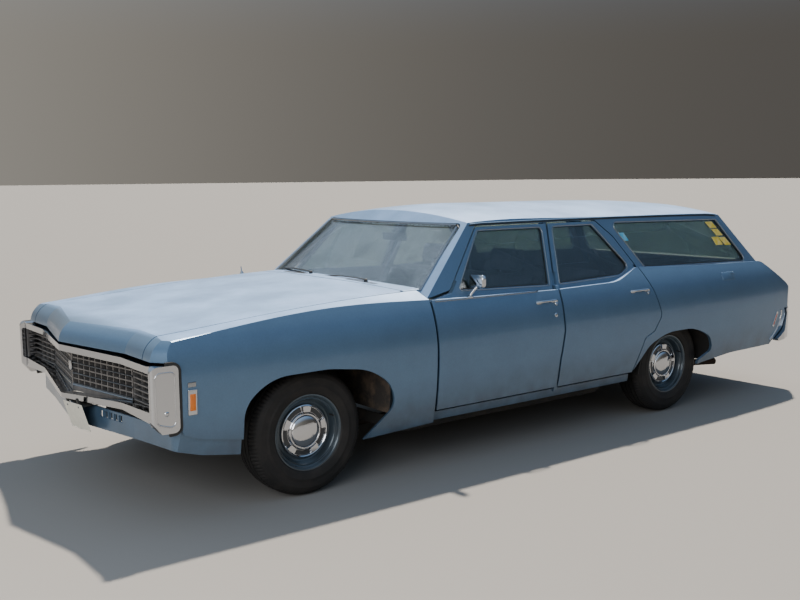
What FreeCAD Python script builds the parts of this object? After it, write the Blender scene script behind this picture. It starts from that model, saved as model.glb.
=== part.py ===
import FreeCAD, Part
import math
import os
import Sketcher

# Full-size five-door station wagon of about 1969. Millimetres. The front faces -Y, the car's
# left is +X and up is +Z. The origin is on the ground under the middle of the car.

os.makedirs("parts", exist_ok=True)
doc = FreeCAD.newDocument("station_wagon")
vec = FreeCAD.Vector

SIZES = [
    # alias, value, what it measures
    ("body_length", 5530, "overall length over the bumpers"),
    ("body_width", 2027, "overall width at the doors"),
    ("wheelbase", 3023, "front axle to rear axle"),
    ("axle_shift", -245, "middle of the wheelbase from the middle of the car"),
    ("track_front", 1588, "between the front tyres' centres"),
    ("track_rear", 1600, "between the rear tyres' centres"),
    ("tyre_radius", 346, "tyre, and so the axle height"),
    ("tyre_width", 215, "tyre section"),
    ("tread_half", 84, "half of the tyre's flat tread"),
    ("tyre_shoulder_radius", 330, "tyre radius at the tread's edge"),
    ("tyre_bead_radius", 193, "tyre radius at the rim"),
    ("bead_half", 88, "half width at the tyre's beads"),
    ("flange_radius", 207, "rim flange"),
    ("flange_half", 93, "rim flange from the wheel's middle"),
    ("rim_wall", 6, "thickness of the rim and the disc"),
    ("disc_offset", 28, "wheel disc from the wheel's middle"),
    ("cap_radius", 147, "hubcap"),
    ("cap_depth", 44, "hubcap dome over the disc"),
    ("hub_bore", 30, "hole in the wheel disc for the spindle"),
    ("bearing_gap", 0.3, "running clearance at spindles and pins"),
    ("panel_gap", 8, "seam round doors, hood and tailgate"),
    ("seat_gap", 0.3, "between a closed lid or door and what it rests on"),
    ("skin", 14, "hood, fender and cowl panels"),
    ("door_wall", 92, "doors and quarter panels"),
    ("door_lip", 7, "outer layer of a door, whose inner layer is narrower"),
    ("door_taper", 14, "how much narrower the inner layer is"),
    ("frame_wall", 30, "pillars and window frames"),
    ("roof_wall", 34, "roof with its headlining"),
    ("glass_inset", 9, "glass behind the face of its frame"),
    ("glass_wall", 5, "glass thickness"),
    ("wide_height", 700, "height at which the body is widest"),
    ("sill_height", 290, "bottom of the rocker"),
    ("sill_inset", 58, "rocker's bottom inside the widest point"),
    ("side_top", 1120, "height at which the side's curve ends"),
    ("side_top_inset", 165, "side at that height inside the widest point"),
    ("nose_taper", 14, "front fender's face inside the widest point"),
    ("tail_taper", 55, "tail's corner inside the widest point"),
    ("tail_corner", 120, "rounding of the tail's corners seen from above"),
    ("lip_height", 838, "hood's front lip"),
    ("lip_sweep", 128, "prow's centre ahead of its sides"),
    ("prow_half", 600, "half width of the prow's slanted part"),
    ("lip_roll", 115, "length of the hood's rolled-down front"),
    ("belt_front", 993, "belt at the cowl"),
    ("belt_middle", 977, "belt at the split of the doors"),
    ("belt_kick", 1064, "top of the kick over the rear door"),
    ("belt_rear", 1022, "belt at the tail"),
    ("tail_height", 660, "height at which the tail stands furthest back"),
    ("glass_half", 905, "greenhouse half width at its base"),
    ("glass_base", 1000, "height of the greenhouse's base"),
    ("drip_half", 750, "greenhouse half width at the drip rail"),
    ("drip_height", 1405, "drip rail"),
    ("shield_base_y", -958, "windshield's corner at the base"),
    ("shield_top_y", -519, "windshield's corner at the drip rail"),
    ("shield_bulge_base", 150, "windshield's curve ahead of its corners, at the base"),
    ("shield_bulge_top", 95, "the same at the drip rail"),
    ("backlight_base_y", 2348, "tailgate glass, corner at the base"),
    ("backlight_top_y", 2007, "the same at the drip rail"),
    ("backlight_bulge", 45, "tailgate glass's curve behind its corners"),
    ("crown_height", 1508, "top of the roof"),
    ("door_front_y", -960, "seam ahead of the front door"),
    ("door_split_y", 40, "seam between the doors, at the bottom"),
    ("door_bottom", 355, "bottom seam of the doors"),
    ("firewall_y", -1000, "front of the cabin"),
    ("hood_rear_y", -1062, "hood's rear edge at its corners"),
    ("hood_rear_sweep", 70, "hood's rear edge at the middle ahead of its corners"),
    ("hood_half", 810, "seam between hood and fender"),
    ("floor_height", 300, "top of the cabin floor"),
    ("floor_wall", 14, "floor plates"),
    ("load_floor_height", 575, "top of the load floor"),
    ("load_floor_y", 905, "front of the load floor"),
    ("seat_pan_height", 454, "top of the pan under the rear seat"),
    ("seat_pan_y", 455, "front of that pan"),
    ("well_radius", 404, "wheelhouse over the rear wheel"),
    ("quarter_skin", 20, "quarter panel round the wheel"),
    ("gate_half", 735, "tailgate half width"),
    ("gate_wall", 60, "tailgate"),
    ("gate_hinge_height", 606, "tailgate hinge"),
    ("rail_height", 70, "chassis rail, top to bottom"),
    ("rail_width", 62, "chassis rail, side to side"),
    ("jack_pad", 6, "raised pads for a jack under the chassis rails"),
    ("rail_front_half", 410, "chassis rails' middle from the centre, at the front axle"),
    ("rail_mid_half", 760, "the same under the doors"),
    ("rail_rear_half", 560, "the same at the rear axle"),
    ("steer_axis_half", 690, "steering axis from the centre"),
    ("bumper_depth", 62, "bumper bar, front to back"),
    ("bumper_bottom", 503, "front bumper's ends, underside"),
    ("bumper_rail", 34, "front bumper's top rail, top to bottom"),
    ("bumper_gap", 18, "round the bumper's ends and under the hood's lip"),
    ("bumper_end_top", 636, "top of the rear bumper's upswept ends"),
    ("grille_bar", 7, "thickness of the grille's bars"),
    ("grille_depth", 26, "grille, front to back"),
    ("grille_columns", 10, "openings across half the grille"),
    ("grille_rows", 6, "openings up the grille"),
    ("lamp_radius", 72, "headlamp"),
    ("lamp_height", 700, "headlamps' middle"),
    ("lamp_inner_x", 700, "inner headlamp"),
    ("lamp_outer_x", 862, "outer headlamp"),
]

sheet = doc.addObject("Spreadsheet::Sheet", "sizes")
for row, (alias, value, note) in enumerate(SIZES, start=1):
    sheet.set("A%d" % row, alias)
    sheet.set("B%d" % row, str(value))
    sheet.setAlias("B%d" % row, alias)
    sheet.set("C%d" % row, note)
doc.recompute()
S = {alias: float(sheet.get(alias)) for alias, value, note in SIZES}

half = S["body_width"] / 2
nose_y = -S["body_length"] / 2
tail_y = S["body_length"] / 2
front_axle_y = S["axle_shift"] - S["wheelbase"] / 2
rear_axle_y = S["axle_shift"] + S["wheelbase"] / 2
axle_height = S["tyre_radius"]
gap = S["panel_gap"]
seat = S["seat_gap"]
rail_bottom = S["floor_height"] - S["floor_wall"] - seat - S["rail_height"]
skin = S["skin"]
FAR = 4000
NODES = {}


def outline(rows, place):
    """Closed face whose corners (a, b, radius) are rounded with tangent arcs; place maps a, b to space."""
    count = len(rows)
    edges = []
    last = None
    first = None
    for index in range(count):
        a0, b0, r0 = rows[index - 1]
        a1, b1, radius = rows[index]
        a2, b2, r2 = rows[(index + 1) % count]
        to_last = FreeCAD.Vector(a0 - a1, b0 - b1, 0).normalize()
        to_next = FreeCAD.Vector(a2 - a1, b2 - b1, 0).normalize()
        corner = FreeCAD.Vector(a1, b1, 0)
        if radius > 0:
            turn = to_last.getAngle(to_next)
            reach = radius / math.tan(turn / 2)
            enter = corner + to_last * reach
            leave = corner + to_next * reach
            middle = (to_last + to_next).normalize()
            centre = corner + middle * (radius / math.sin(turn / 2))
            crest = centre - middle * radius
        else:
            enter = leave = crest = corner
        if last is not None:
            edges.append(Part.makeLine(place(last), place(enter)))
        else:
            first = enter
        if radius > 0:
            edges.append(Part.Arc(place(enter), place(crest), place(leave)).toShape())
        last = leave
    edges.append(Part.makeLine(place(last), place(first)))
    return Part.Face(Part.Wire(edges))


def side_prism(rows, x_from, x_to):
    """Outline in side view, rows of y, z, corner radius."""
    face = outline(rows, lambda p: vec(x_from, p.x, p.y))
    return face.extrude(vec(x_to - x_from, 0, 0))


def front_prism(rows, y_from, y_to):
    """Outline in front view, rows of x, z, corner radius."""
    face = outline(rows, lambda p: vec(p.x, y_from, p.y))
    return face.extrude(vec(0, y_to - y_from, 0))


def plan_prism(rows, z_from, z_to):
    """Outline seen from above, rows of x, y, corner radius."""
    face = outline(rows, lambda p: vec(p.x, p.y, z_from))
    return face.extrude(vec(0, 0, z_to - z_from))


def box(x0, x1, y0, y1, z0, z1):
    return Part.makeBox(x1 - x0, y1 - y0, z1 - z0, vec(x0, y0, z0))


def rod(start, end, radius):
    return Part.makeCylinder(radius, (end - start).Length, start, end - start)


def mirrored(shape):
    return shape.mirror(vec(0, 0, 0), vec(1, 0, 0))


def both_sides(shape):
    return [shape, mirrored(shape)]


def moved_rows(rows, dy):
    return [(y + dy, z, r) for y, z, r in rows]


def biggest(shape):
    """The largest solid of a cut, without its crumbs."""
    return max(shape.Solids, key=lambda solid: solid.Volume)


def add(label, shape):
    """A finished piece, kept under its own name."""
    piece = doc.addObject("Part::Feature", label)
    piece.Label = label
    piece.Shape = shape
    NODES[label] = piece
    return piece


# The body's sides: barrel-shaped sections, widest at one height, joined along the car.

def side_arcs(y, wide, inset):
    """Section of the body's side at y: bottom line, lower and upper arc each side, top line."""
    low_x = wide - S["sill_inset"] - inset
    high_x = wide - S["side_top_inset"] - inset
    wide_x = wide - inset
    z_low = S["sill_height"] - 60
    z_wide = S["wide_height"]
    z_high = S["side_top"]
    bends = []
    for x_end, z_end in ((low_x, z_low), (high_x, z_high)):
        dx = wide_x - x_end
        dz = abs(z_end - z_wide)
        bend = (dx * dx + dz * dz) / (2 * dx)
        lean = math.asin(dz / bend) / 2
        sign = 1 if z_end > z_wide else -1
        bends.append((wide_x - bend + bend * math.cos(lean), z_wide + sign * bend * math.sin(lean)))
    edges = []
    for side in (1, -1):
        low = vec(side * low_x, y, z_low)
        middle = vec(side * wide_x, y, z_wide)
        high = vec(side * high_x, y, z_high)
        lower = Part.Arc(low, vec(side * bends[0][0], y, bends[0][1]), middle).toShape()
        upper = Part.Arc(middle, vec(side * bends[1][0], y, bends[1][1]), high).toShape()
        edges.append([lower, upper])
    bottom = Part.makeLine(vec(-low_x, y, z_low), vec(low_x, y, z_low))
    top = Part.makeLine(vec(high_x, y, z_high), vec(-high_x, y, z_high))
    return Part.Wire([bottom, edges[0][0], edges[0][1], top, edges[1][1], edges[1][0]])


def side_volume(inset):
    stations = [
        # y, how far the side lies inside the widest width
        (nose_y - 20, S["nose_taper"] + 4),
        (front_axle_y, S["nose_taper"] / 2),
        (S["door_front_y"], 1),
        (S["door_split_y"] + 150, 0),
        (rear_axle_y - 200, 1),
        (rear_axle_y + 700, S["tail_taper"] / 5),
        (tail_y + 20, S["tail_taper"]),
    ]
    return Part.makeLoft([side_arcs(y, half - taper, inset) for y, taper in stations], True, False)


def hood_volume(drop):
    """All that lies under the hood, fender and cowl surface, lowered by drop."""
    stations = [
        # y, fender's outer edge, fender's crest, hood's seam, hood's middle
        (nose_y - 35, 905, 922, 928, 930),
        (front_axle_y - 630, 930, 947, 955, 962),
        (front_axle_y - 70, 985, 999, 1003, 1016),
        (S["door_front_y"] - 215, 988, 1001, 1040, 1066),
        (S["door_front_y"] + 40, 985, 993, 1048, 1078),
    ]
    wires = []
    for y, edge, crest, seam, middle in stations:
        right = [vec(half + 60, y, 100), vec(half + 60, y, edge - drop - 45), vec(half - 68, y, crest - drop),
                 vec(S["hood_half"] - 5, y, seam - drop)]
        left = [vec(-p.x, p.y, p.z) for p in reversed(right)]
        crown = Part.Arc(right[-1], vec(0, y, middle - drop), left[0]).toShape()
        lines = [Part.makeLine(a, b) for a, b in zip(right, right[1:])]
        lines += [crown]
        lines += [Part.makeLine(a, b) for a, b in zip(left, left[1:])]
        lines += [Part.makeLine(left[-1], right[0])]
        wires.append(Part.Wire(lines))
    return Part.makeLoft(wires, True, False)


def prow_volume(back):
    """Everything behind the rolled-down, V-shaped front, moved back and down by back."""
    wires = []
    corner = half - 110
    for x in (-half - 110, -corner, -S["prow_half"], 0, S["prow_half"], corner, half + 110):
        sweep = S["lip_sweep"] * max(0, 1 - abs(x) / S["prow_half"]) - 0.7 * max(0, abs(x) - corner)
        lip = nose_y + S["lip_sweep"] - sweep + back
        top = S["lip_height"] + 112 - back
        low = S["lip_height"] - back
        roll = Part.Arc(vec(x, lip + S["lip_roll"], top), vec(x, lip + S["lip_roll"] * 0.33, top - 36),
                        vec(x, lip, low)).toShape()
        corners = [vec(x, lip, low), vec(x, lip, 100), vec(x, -600, 100), vec(x, -600, 1300),
                   vec(x, lip + S["lip_roll"], 1300), vec(x, lip + S["lip_roll"], top)]
        wires.append(Part.Wire([roll] + [Part.makeLine(a, b) for a, b in zip(corners, corners[1:])]))
    return Part.makeLoft(wires, True, True)


kick_y = rear_axle_y - 355
belt_rows = [
    # y, z, corner radius: from the cowl back along the belt and down the tail
    (S["door_front_y"] - 20, 100, 0),
    (S["door_front_y"] - 20, S["belt_front"], 0),
    (S["door_split_y"], S["belt_middle"], 2000),
    (kick_y - 260, S["belt_middle"] + 8, 500),
    (kick_y - 20, S["belt_kick"], 60),
    (kick_y + 130, S["belt_kick"] - 6, 300),
    (rear_axle_y + 360, S["belt_rear"] + 14, 2000),
    (S["backlight_base_y"] + 40, S["belt_rear"], 120),
    (tail_y - 55, 812, 190),
    (tail_y - 2, S["tail_height"], 60),
    (tail_y - 12, 100, 0),
]


def belt_volume(drop, end_inset):
    """Everything under the belt and ahead of the tail's face, lowered by drop."""
    rows = []
    for y, z, radius in belt_rows:
        low = z if z <= 100 else z - drop
        rows.append((min(y, y - end_inset * (y > S["backlight_base_y"])), low, radius))
    return side_prism(rows, -half - 50, half + 50)


tail_plan = [
    (half + 60, -FAR, 0),
    (half + 60, tail_y - 300, 0),
    (half - 6, tail_y - 260, 200),
    (half - S["tail_taper"] - 12, tail_y, S["tail_corner"]),
    (-half + S["tail_taper"] + 12, tail_y, S["tail_corner"]),
    (-half + 6, tail_y - 260, 200),
    (-half - 60, tail_y - 300, 0),
    (-half - 60, -FAR, 0),
]


# The greenhouse: a tapering volume under the roof's crown.

def taper_wire(z, inset):
    """Plan outline of the greenhouse at height z, moved inwards by inset."""
    rise = (z - S["glass_base"]) / (S["drip_height"] - S["glass_base"])
    x = S["glass_half"] + rise * (S["drip_half"] - S["glass_half"]) - inset
    front = S["shield_base_y"] + rise * (S["shield_top_y"] - S["shield_base_y"]) + inset * 1.3
    bulge = S["shield_bulge_base"] + rise * (S["shield_bulge_top"] - S["shield_bulge_base"])
    rear = S["backlight_base_y"] + rise * (S["backlight_top_y"] - S["backlight_base_y"]) - inset * 1.2
    right_front = vec(x, front, z)
    left_front = vec(-x, front, z)
    right_rear = vec(x, rear, z)
    left_rear = vec(-x, rear, z)
    return Part.Wire([
        Part.Arc(left_front, vec(0, front - bulge, z), right_front).toShape(),
        Part.makeLine(right_front, right_rear),
        Part.Arc(right_rear, vec(0, rear + S["backlight_bulge"], z), left_rear).toShape(),
        Part.makeLine(left_rear, left_front),
    ])


def roof_volume(drop):
    """Everything under the roof's crowned surface, lowered by drop."""
    edge = S["drip_height"]
    crown = S["crown_height"]
    stations = [
        # y, roof at the drip rail, roof at the middle
        (-1250, edge - 125, crown - 210),
        (-900, edge - 40, crown - 105),
        (-450, edge + 10, crown - 22),
        (250, edge + 12, crown),
        (1100, edge + 2, crown - 3),
        (1800, edge - 8, crown - 24),
        (2500, edge - 50, crown - 92),
    ]
    reach = 960
    wires = []
    for y, z_edge, z_crown in stations:
        z_end = z_crown - (z_crown - z_edge) * (reach / S["drip_half"]) ** 2
        arc = Part.Arc(vec(reach, y, z_end - drop), vec(0, y, z_crown - drop), vec(-reach, y, z_end - drop))
        low_right = vec(reach, y, 800)
        low_left = vec(-reach, y, 800)
        wires.append(Part.Wire([
            arc.toShape(),
            Part.makeLine(vec(-reach, y, z_end - drop), low_left),
            Part.makeLine(low_left, low_right),
            Part.makeLine(low_right, vec(reach, y, z_end - drop)),
        ]))
    return Part.makeLoft(wires, True, False)


def greenhouse(inset, drop, z_low):
    taper = Part.makeLoft([taper_wire(z_low, inset), taper_wire(1580, inset)], True, True)
    return taper.common(roof_volume(drop))


side_outer = side_volume(0)
tail_shape = plan_prism(tail_plan, 50, 1300)
rear_body = side_outer.common(belt_volume(0, 0)).common(tail_shape)
front_body = side_outer.common(hood_volume(0)).common(prow_volume(0))
front_body = front_body.common(box(-FAR, FAR, -FAR, S["door_front_y"] + 25, 0, FAR))
glass_house = greenhouse(0, 0, 940)

door_inner_side = side_volume(S["door_wall"])
cavity_bottom = S["floor_height"] - S["floor_wall"]
cabin_space = door_inner_side.common(belt_volume(-40, S["gate_wall"]))
cabin_space = cabin_space.common(box(-FAR, FAR, S["firewall_y"] + skin, FAR, cavity_bottom, 985))
cabin_low_rear = side_prism([
    (S["load_floor_y"], cavity_bottom, 0), (S["load_floor_y"], 1050, 0),
    (S["backlight_base_y"] - 40, 1050, 0), (S["backlight_base_y"] + 20, S["belt_rear"] - S["gate_wall"], 60),
    (tail_y - 55 - S["gate_wall"], 812 - S["gate_wall"] * 0.6, 120), (tail_y - S["gate_wall"] - 20, 640, 0),
    (tail_y - S["gate_wall"] - 20, cavity_bottom, 0)], -FAR, FAR)
house_low = S["glass_base"] - 100
glass_space = greenhouse(S["frame_wall"], S["roof_wall"], house_low)
low_cavity = cabin_space.common(cabin_low_rear.fuse(box(-FAR, FAR, -FAR, S["load_floor_y"], 0, FAR)))


body = rear_body.fuse(glass_house)
left_box = box(0, FAR, -FAR, FAR, 0, FAR)
left_body = body.common(left_box)
left_wall = left_body.cut(low_cavity).cut(glass_space)

# Seams of the doors in side view.

split_rows = [
    # y, z up the seam between the doors
    (S["door_split_y"] - 5, S["door_bottom"]),
    (S["door_split_y"] + 5, 536),
    (S["door_split_y"] + 38, 724),
    (S["door_split_y"] + 37, 820),
    (S["door_split_y"] + 45, S["belt_middle"] + 8),
    (S["door_split_y"] + 122, S["drip_height"] - 12),
]
door_top = S["drip_height"] - 12
front_seam_rows = [
    (S["door_front_y"], S["door_bottom"], 0),
    (S["door_front_y"], S["belt_front"] + 6, 0),
    (S["shield_base_y"] + 182, S["glass_base"] + 34, 30),
    (S["shield_top_y"] + 60, door_top, 30),
]
rear_seam_rows = [
    (rear_axle_y - 640, door_top, 40),
    (rear_axle_y - 500, 1280, 0),
    (kick_y + 8, S["belt_kick"] + 8, 200),
    (rear_axle_y - 271, 905, 0),
    (rear_axle_y - 216, 730, 75),
    (rear_axle_y - 300, 622, 60),
    (rear_axle_y - 388, 587, 40),
    (rear_axle_y - 495, S["door_bottom"], 0),
]
front_door_rows = front_seam_rows + [(y, z, 0 if z in (S["door_bottom"], door_top) else 40)
                                     for y, z in reversed(split_rows)]
rear_door_rows = [(y, z, 0 if z in (S["door_bottom"], door_top) else 40) for y, z in split_rows] + rear_seam_rows


def seam_prism(rows, shrink):
    """Side outline of a door, moved inwards by shrink, through the left wall."""
    face = outline(rows, lambda p: vec(560, p.x, p.y))
    if shrink:
        face = Part.Face(face.OuterWire.makeOffset2D(-shrink, 2, False, False, False))
    return face.extrude(vec(600, 0, 0))


front_glass_rows = [
    (S["shield_base_y"] + 250, S["glass_base"] + 30, 12),
    (S["shield_top_y"] + 72, door_top - 33, 25),
    (S["door_split_y"] + 60, door_top - 33, 25),
    (S["door_split_y"] - 2, S["glass_base"] + 8, 12),
]
rear_glass_rows = [
    (S["door_split_y"] + 100, S["glass_base"] + 8, 12),
    (S["door_split_y"] + 164, door_top - 33, 25),
    (rear_axle_y - 690, door_top - 33, 30),
    (rear_axle_y - 430, S["belt_kick"] + 12, 30),
    (rear_axle_y - 520, S["glass_base"] + 26, 120),
]
quarter_glass_rows = [
    (rear_axle_y - 494, door_top - 26, 25),
    (S["backlight_top_y"] - 45, door_top - 44, 30),
    (S["backlight_base_y"] - 142, S["glass_base"] + 34, 25),
    (rear_axle_y - 255, S["belt_kick"] - 4, 30),
]
under_lip = side_volume(S["door_lip"]).fuse(greenhouse(S["door_lip"], 0, house_low)).common(left_box)


def door_shape(seam_rows, window_rows):
    """A door as thick as its wall, whose inner layer stands back from the seam behind an outer lip."""
    whole = left_wall.common(seam_prism(seam_rows, gap))
    border = seam_prism(seam_rows, 0).cut(seam_prism(seam_rows, gap + S["door_taper"]))
    return biggest(whole.cut(under_lip.common(border)).cut(seam_prism(window_rows, 0)))


pane_shell = greenhouse(S["glass_inset"], S["roof_wall"], 940)
pane_shell = pane_shell.cut(greenhouse(S["glass_inset"] + S["glass_wall"], S["roof_wall"] - 10, house_low))
left_pane_shell = pane_shell.common(left_box)


def pane_shape(window_rows):
    return biggest(left_pane_shell.common(seam_prism(window_rows, 0)))


for place, seam_rows, window_rows in (("front", front_door_rows, front_glass_rows),
                                      ("rear", rear_door_rows, rear_glass_rows)):
    for side, shape in zip(("left", "right"), both_sides(door_shape(seam_rows, window_rows))):
        add("%s_door_%s" % (place, side), shape)
    for side, shape in zip(("left", "right"), both_sides(pane_shape(window_rows))):
        add("%s_door_glass_%s" % (place, side), shape)

# Quarter panels, from the rear door's seam to the tail, with the pillars round the quarter glass.

# The wheel openings are long ovals, cut off slanting at their rear lower ends.
rear_arch = moved_rows([
    (-512, 100, 0), (-508, 352, 10), (-338, 535, 220), (-150, 605, 500), (158, 605, 500),
    (352, 525, 120), (404, 418, 45), (245, 353, 20), (245, 100, 0)], rear_axle_y)
front_arch = moved_rows([
    (-438, 100, 0), (-438, 572, 160), (-290, 697, 310), (60, 700, 500), (326, 665, 380),
    (470, 560, 170), (500, 437, 80), (217, 200, 0), (217, 100, 0)], front_axle_y)
quarter_region = side_prism([
    (rear_axle_y - 690, 290, 0), (rear_axle_y - 690, door_top + 4, 0), (S["backlight_top_y"] + 20, door_top + 4, 0),
    (FAR, door_top + 4, 0), (FAR, S["bumper_end_top"] + 4, 0), (tail_y - 136, S["bumper_end_top"] + 4, 0),
    (tail_y - 106, S["bumper_end_top"] - 36, 30), (tail_y - 148, 476, 60), (tail_y - 282, 384, 20),
    (tail_y - 300, 366, 0), (rear_axle_y + 640, 364, 0), (rear_axle_y + 300, 334, 0),
    (rear_axle_y, 290, 0)], 640, FAR)
quarter_left = left_wall.common(quarter_region)
quarter_left = quarter_left.cut(seam_prism(rear_door_rows, 0))
over_doors = side_prism([
    (-FAR, 100, 0), (-FAR, 1600, 0), (rear_axle_y - 652, 1600, 0), (rear_axle_y - 640, door_top, 0),
    (rear_axle_y - 480, 700, 0), (rear_axle_y - 495, 100, 0)], 0, FAR)
quarter_region = quarter_region.cut(over_doors)
quarter_left = quarter_left.cut(over_doors)
quarter_left = quarter_left.cut(side_prism(rear_arch, 0, FAR))
quarter_left = quarter_left.cut(seam_prism(quarter_glass_rows, 0))
gate_opening = plan_prism([
    (-S["gate_half"], rear_axle_y, 0), (-S["gate_half"], FAR, 0), (S["gate_half"], FAR, 0),
    (S["gate_half"], rear_axle_y, 0)], 0, S["belt_rear"] + 14)
back_rows = [
    (-S["glass_half"] + 110, S["belt_rear"] + 14, 30),
    (-S["drip_half"] + 85, door_top, 45),
    (S["drip_half"] - 85, door_top, 45),
    (S["glass_half"] - 110, S["belt_rear"] + 14, 30),
]
back_cut = front_prism(back_rows, S["backlight_top_y"] - 120, FAR)
corner_width = half - S["gate_half"]
tail_lamp_zone = box(S["gate_half"] + 0.16 * corner_width, S["gate_half"] + 0.6 * corner_width, tail_y - 400, FAR,
                     S["bumper_end_top"] + 24, S["bumper_end_top"] + 164)
lamp_floor = rear_body.copy()
lamp_floor.translate(vec(0, -14, -3))
rear_axle_line = vec(0, rear_axle_y, axle_height)
wheel_well = Part.makeCylinder(S["well_radius"] + seat, FAR, rear_axle_line, vec(1, 0, 0))
wheel_well = wheel_well.common(side_volume(S["quarter_skin"]))
quarter_left = quarter_left.cut(gate_opening).cut(back_cut).cut(wheel_well)
quarter_left = biggest(quarter_left.cut(tail_lamp_zone.cut(lamp_floor)))
for side, shape in zip(("left", "right"), both_sides(quarter_left)):
    add("quarter_panel_%s" % side, shape)
quarter_panes = both_sides(pane_shape(quarter_glass_rows))
add("quarter_glass", Part.makeCompound(quarter_panes))

# Roof with its windshield pillars; the windshield; the tailgate glass.

shield_rows = [
    (-S["glass_half"] + 62, S["glass_base"] - 80, 0),
    (-S["drip_half"] + 34, S["drip_height"] + 4, 45),
    (S["drip_half"] - 34, S["drip_height"] + 4, 45),
    (S["glass_half"] - 62, S["glass_base"] - 80, 0),
]
shield_cut = front_prism(shield_rows, -FAR, S["shield_top_y"] + 40)
house_foot = S["glass_base"] - 20
upper = glass_house.cut(glass_space).common(box(-FAR, FAR, -FAR, FAR, house_foot, FAR))
roof = upper.cut(shield_cut).cut(back_cut)
for prism in (seam_prism(front_door_rows, 0), seam_prism(rear_door_rows, 0), quarter_region):
    roof = roof.cut(prism).cut(mirrored(prism))
roof = biggest(roof.cut(box(-FAR, FAR, S["shield_top_y"] + 62, FAR, 0, door_top)))
add("roof", roof)
add("windshield", biggest(pane_shell.common(shield_cut).common(box(-FAR, FAR, -FAR, 0, S["glass_base"] + 22, FAR))))
add("tailgate_glass", biggest(pane_shell.common(back_cut)))

# Front fenders, hood and cowl are cut from one thin skin over the engine bay.

bay_inner = side_volume(skin).common(hood_volume(skin)).common(prow_volume(skin))
front_skin = front_body.cut(bay_inner.common(box(-FAR, FAR, -FAR, S["door_front_y"] + 30, 0, FAR)))
hood_plan = [
    (-S["hood_half"], -FAR, 0), (S["hood_half"], -FAR, 0), (S["hood_half"], S["hood_rear_y"], 25),
    (0, S["hood_rear_y"] - S["hood_rear_sweep"], 2500), (-S["hood_half"], S["hood_rear_y"], 25)]
hood_zone = plan_prism(hood_plan, S["lip_height"] - 3, FAR)
hood = biggest(front_skin.common(hood_zone))
add("hood", hood)

bumper_rear = nose_y + 226
fender_zone = side_prism([
    (-FAR, S["lip_height"] - 3, 0), (-FAR, FAR, 0), (S["door_front_y"] - gap, FAR, 0),
    (S["door_front_y"] - gap, S["sill_height"], 0), (front_axle_y + 262, S["sill_height"] - 20, 0),
    (front_axle_y - 412, 398, 0), (nose_y + 333, 446, 100), (bumper_rear + S["bumper_gap"], 483, 20),
    (bumper_rear + S["bumper_gap"], S["lip_height"] - 3, 45)], S["hood_half"] + gap, FAR)
fender = front_skin.common(fender_zone).cut(side_prism(front_arch, 0, FAR))
for side, shape in zip(("left", "right"), both_sides(biggest(fender))):
    add("front_fender_%s" % side, shape)

def cowl_plan(ahead, behind):
    """Plan of the cowl from the hood's curved rear edge, moved back by ahead, to a line behind."""
    return plan_prism([
        (-S["hood_half"] - 1, behind, 0), (S["hood_half"] + 1, behind, 0),
        (S["hood_half"] + 1, S["hood_rear_y"] + ahead, 0),
        (0, S["hood_rear_y"] + ahead - S["hood_rear_sweep"], 2500),
        (-S["hood_half"] - 1, S["hood_rear_y"] + ahead, 0)], 900, FAR)


plenum_z = S["glass_base"] - 15
cowl_area = cowl_plan(gap, S["door_front_y"] + 20)
cowl_top = front_skin.common(cowl_area).cut(glass_house)
cowl_front = front_body.common(cowl_area).cut(cowl_plan(gap + skin, FAR)).common(
    box(-FAR, FAR, -FAR, FAR, plenum_z, FAR))
plenum = cowl_area.common(box(-FAR, FAR, -FAR, S["firewall_y"] + skin, plenum_z - 10, plenum_z))
rocker_top = S["door_bottom"] - gap
tunnel_half = 120
tunnel_top = S["floor_height"] + 110
firewall = box(-850, 850, S["firewall_y"], S["firewall_y"] + skin, S["floor_height"], plenum_z)
firewall = firewall.cut(box(-tunnel_half, tunnel_half, -FAR, FAR, 0, tunnel_top))
hinge_post = box(half - S["door_wall"] - 20, half - 62, S["door_front_y"] - 60, S["door_front_y"] - gap,
                 rocker_top + seat, S["belt_front"] - 100)
post_link = box(800, half - S["door_wall"] - 10, S["firewall_y"], S["firewall_y"] + skin,
                rocker_top + seat, S["belt_front"] - 100)
leaf_end = gap + S["door_taper"] - seat
hinge_leaves = [box(half - 92, half - 62, S["door_front_y"] - gap, S["door_front_y"] + leaf_end, z, z + 60)
                for z in (430, 800)]
hood_arm = box(560, 600, S["hood_rear_y"] - 120, S["firewall_y"], plenum_z - 45, FAR).common(
    hood_volume(skin + seat))
cowl_shapes = [firewall, cowl_front, plenum]
for piece in [hinge_post, post_link, hood_arm] + hinge_leaves:
    cowl_shapes += both_sides(piece)
# What the cowl holds under its skin stops clear of the windshield and the pillars' feet.
house_space = greenhouse(-seat, -seat, house_foot - seat)
cowl = cowl_top.fuse([piece.cut(house_space) for piece in cowl_shapes])
add("cowl", biggest(cowl))

# Center pillars, standing in the slot between the inner layers of the doors.

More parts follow.
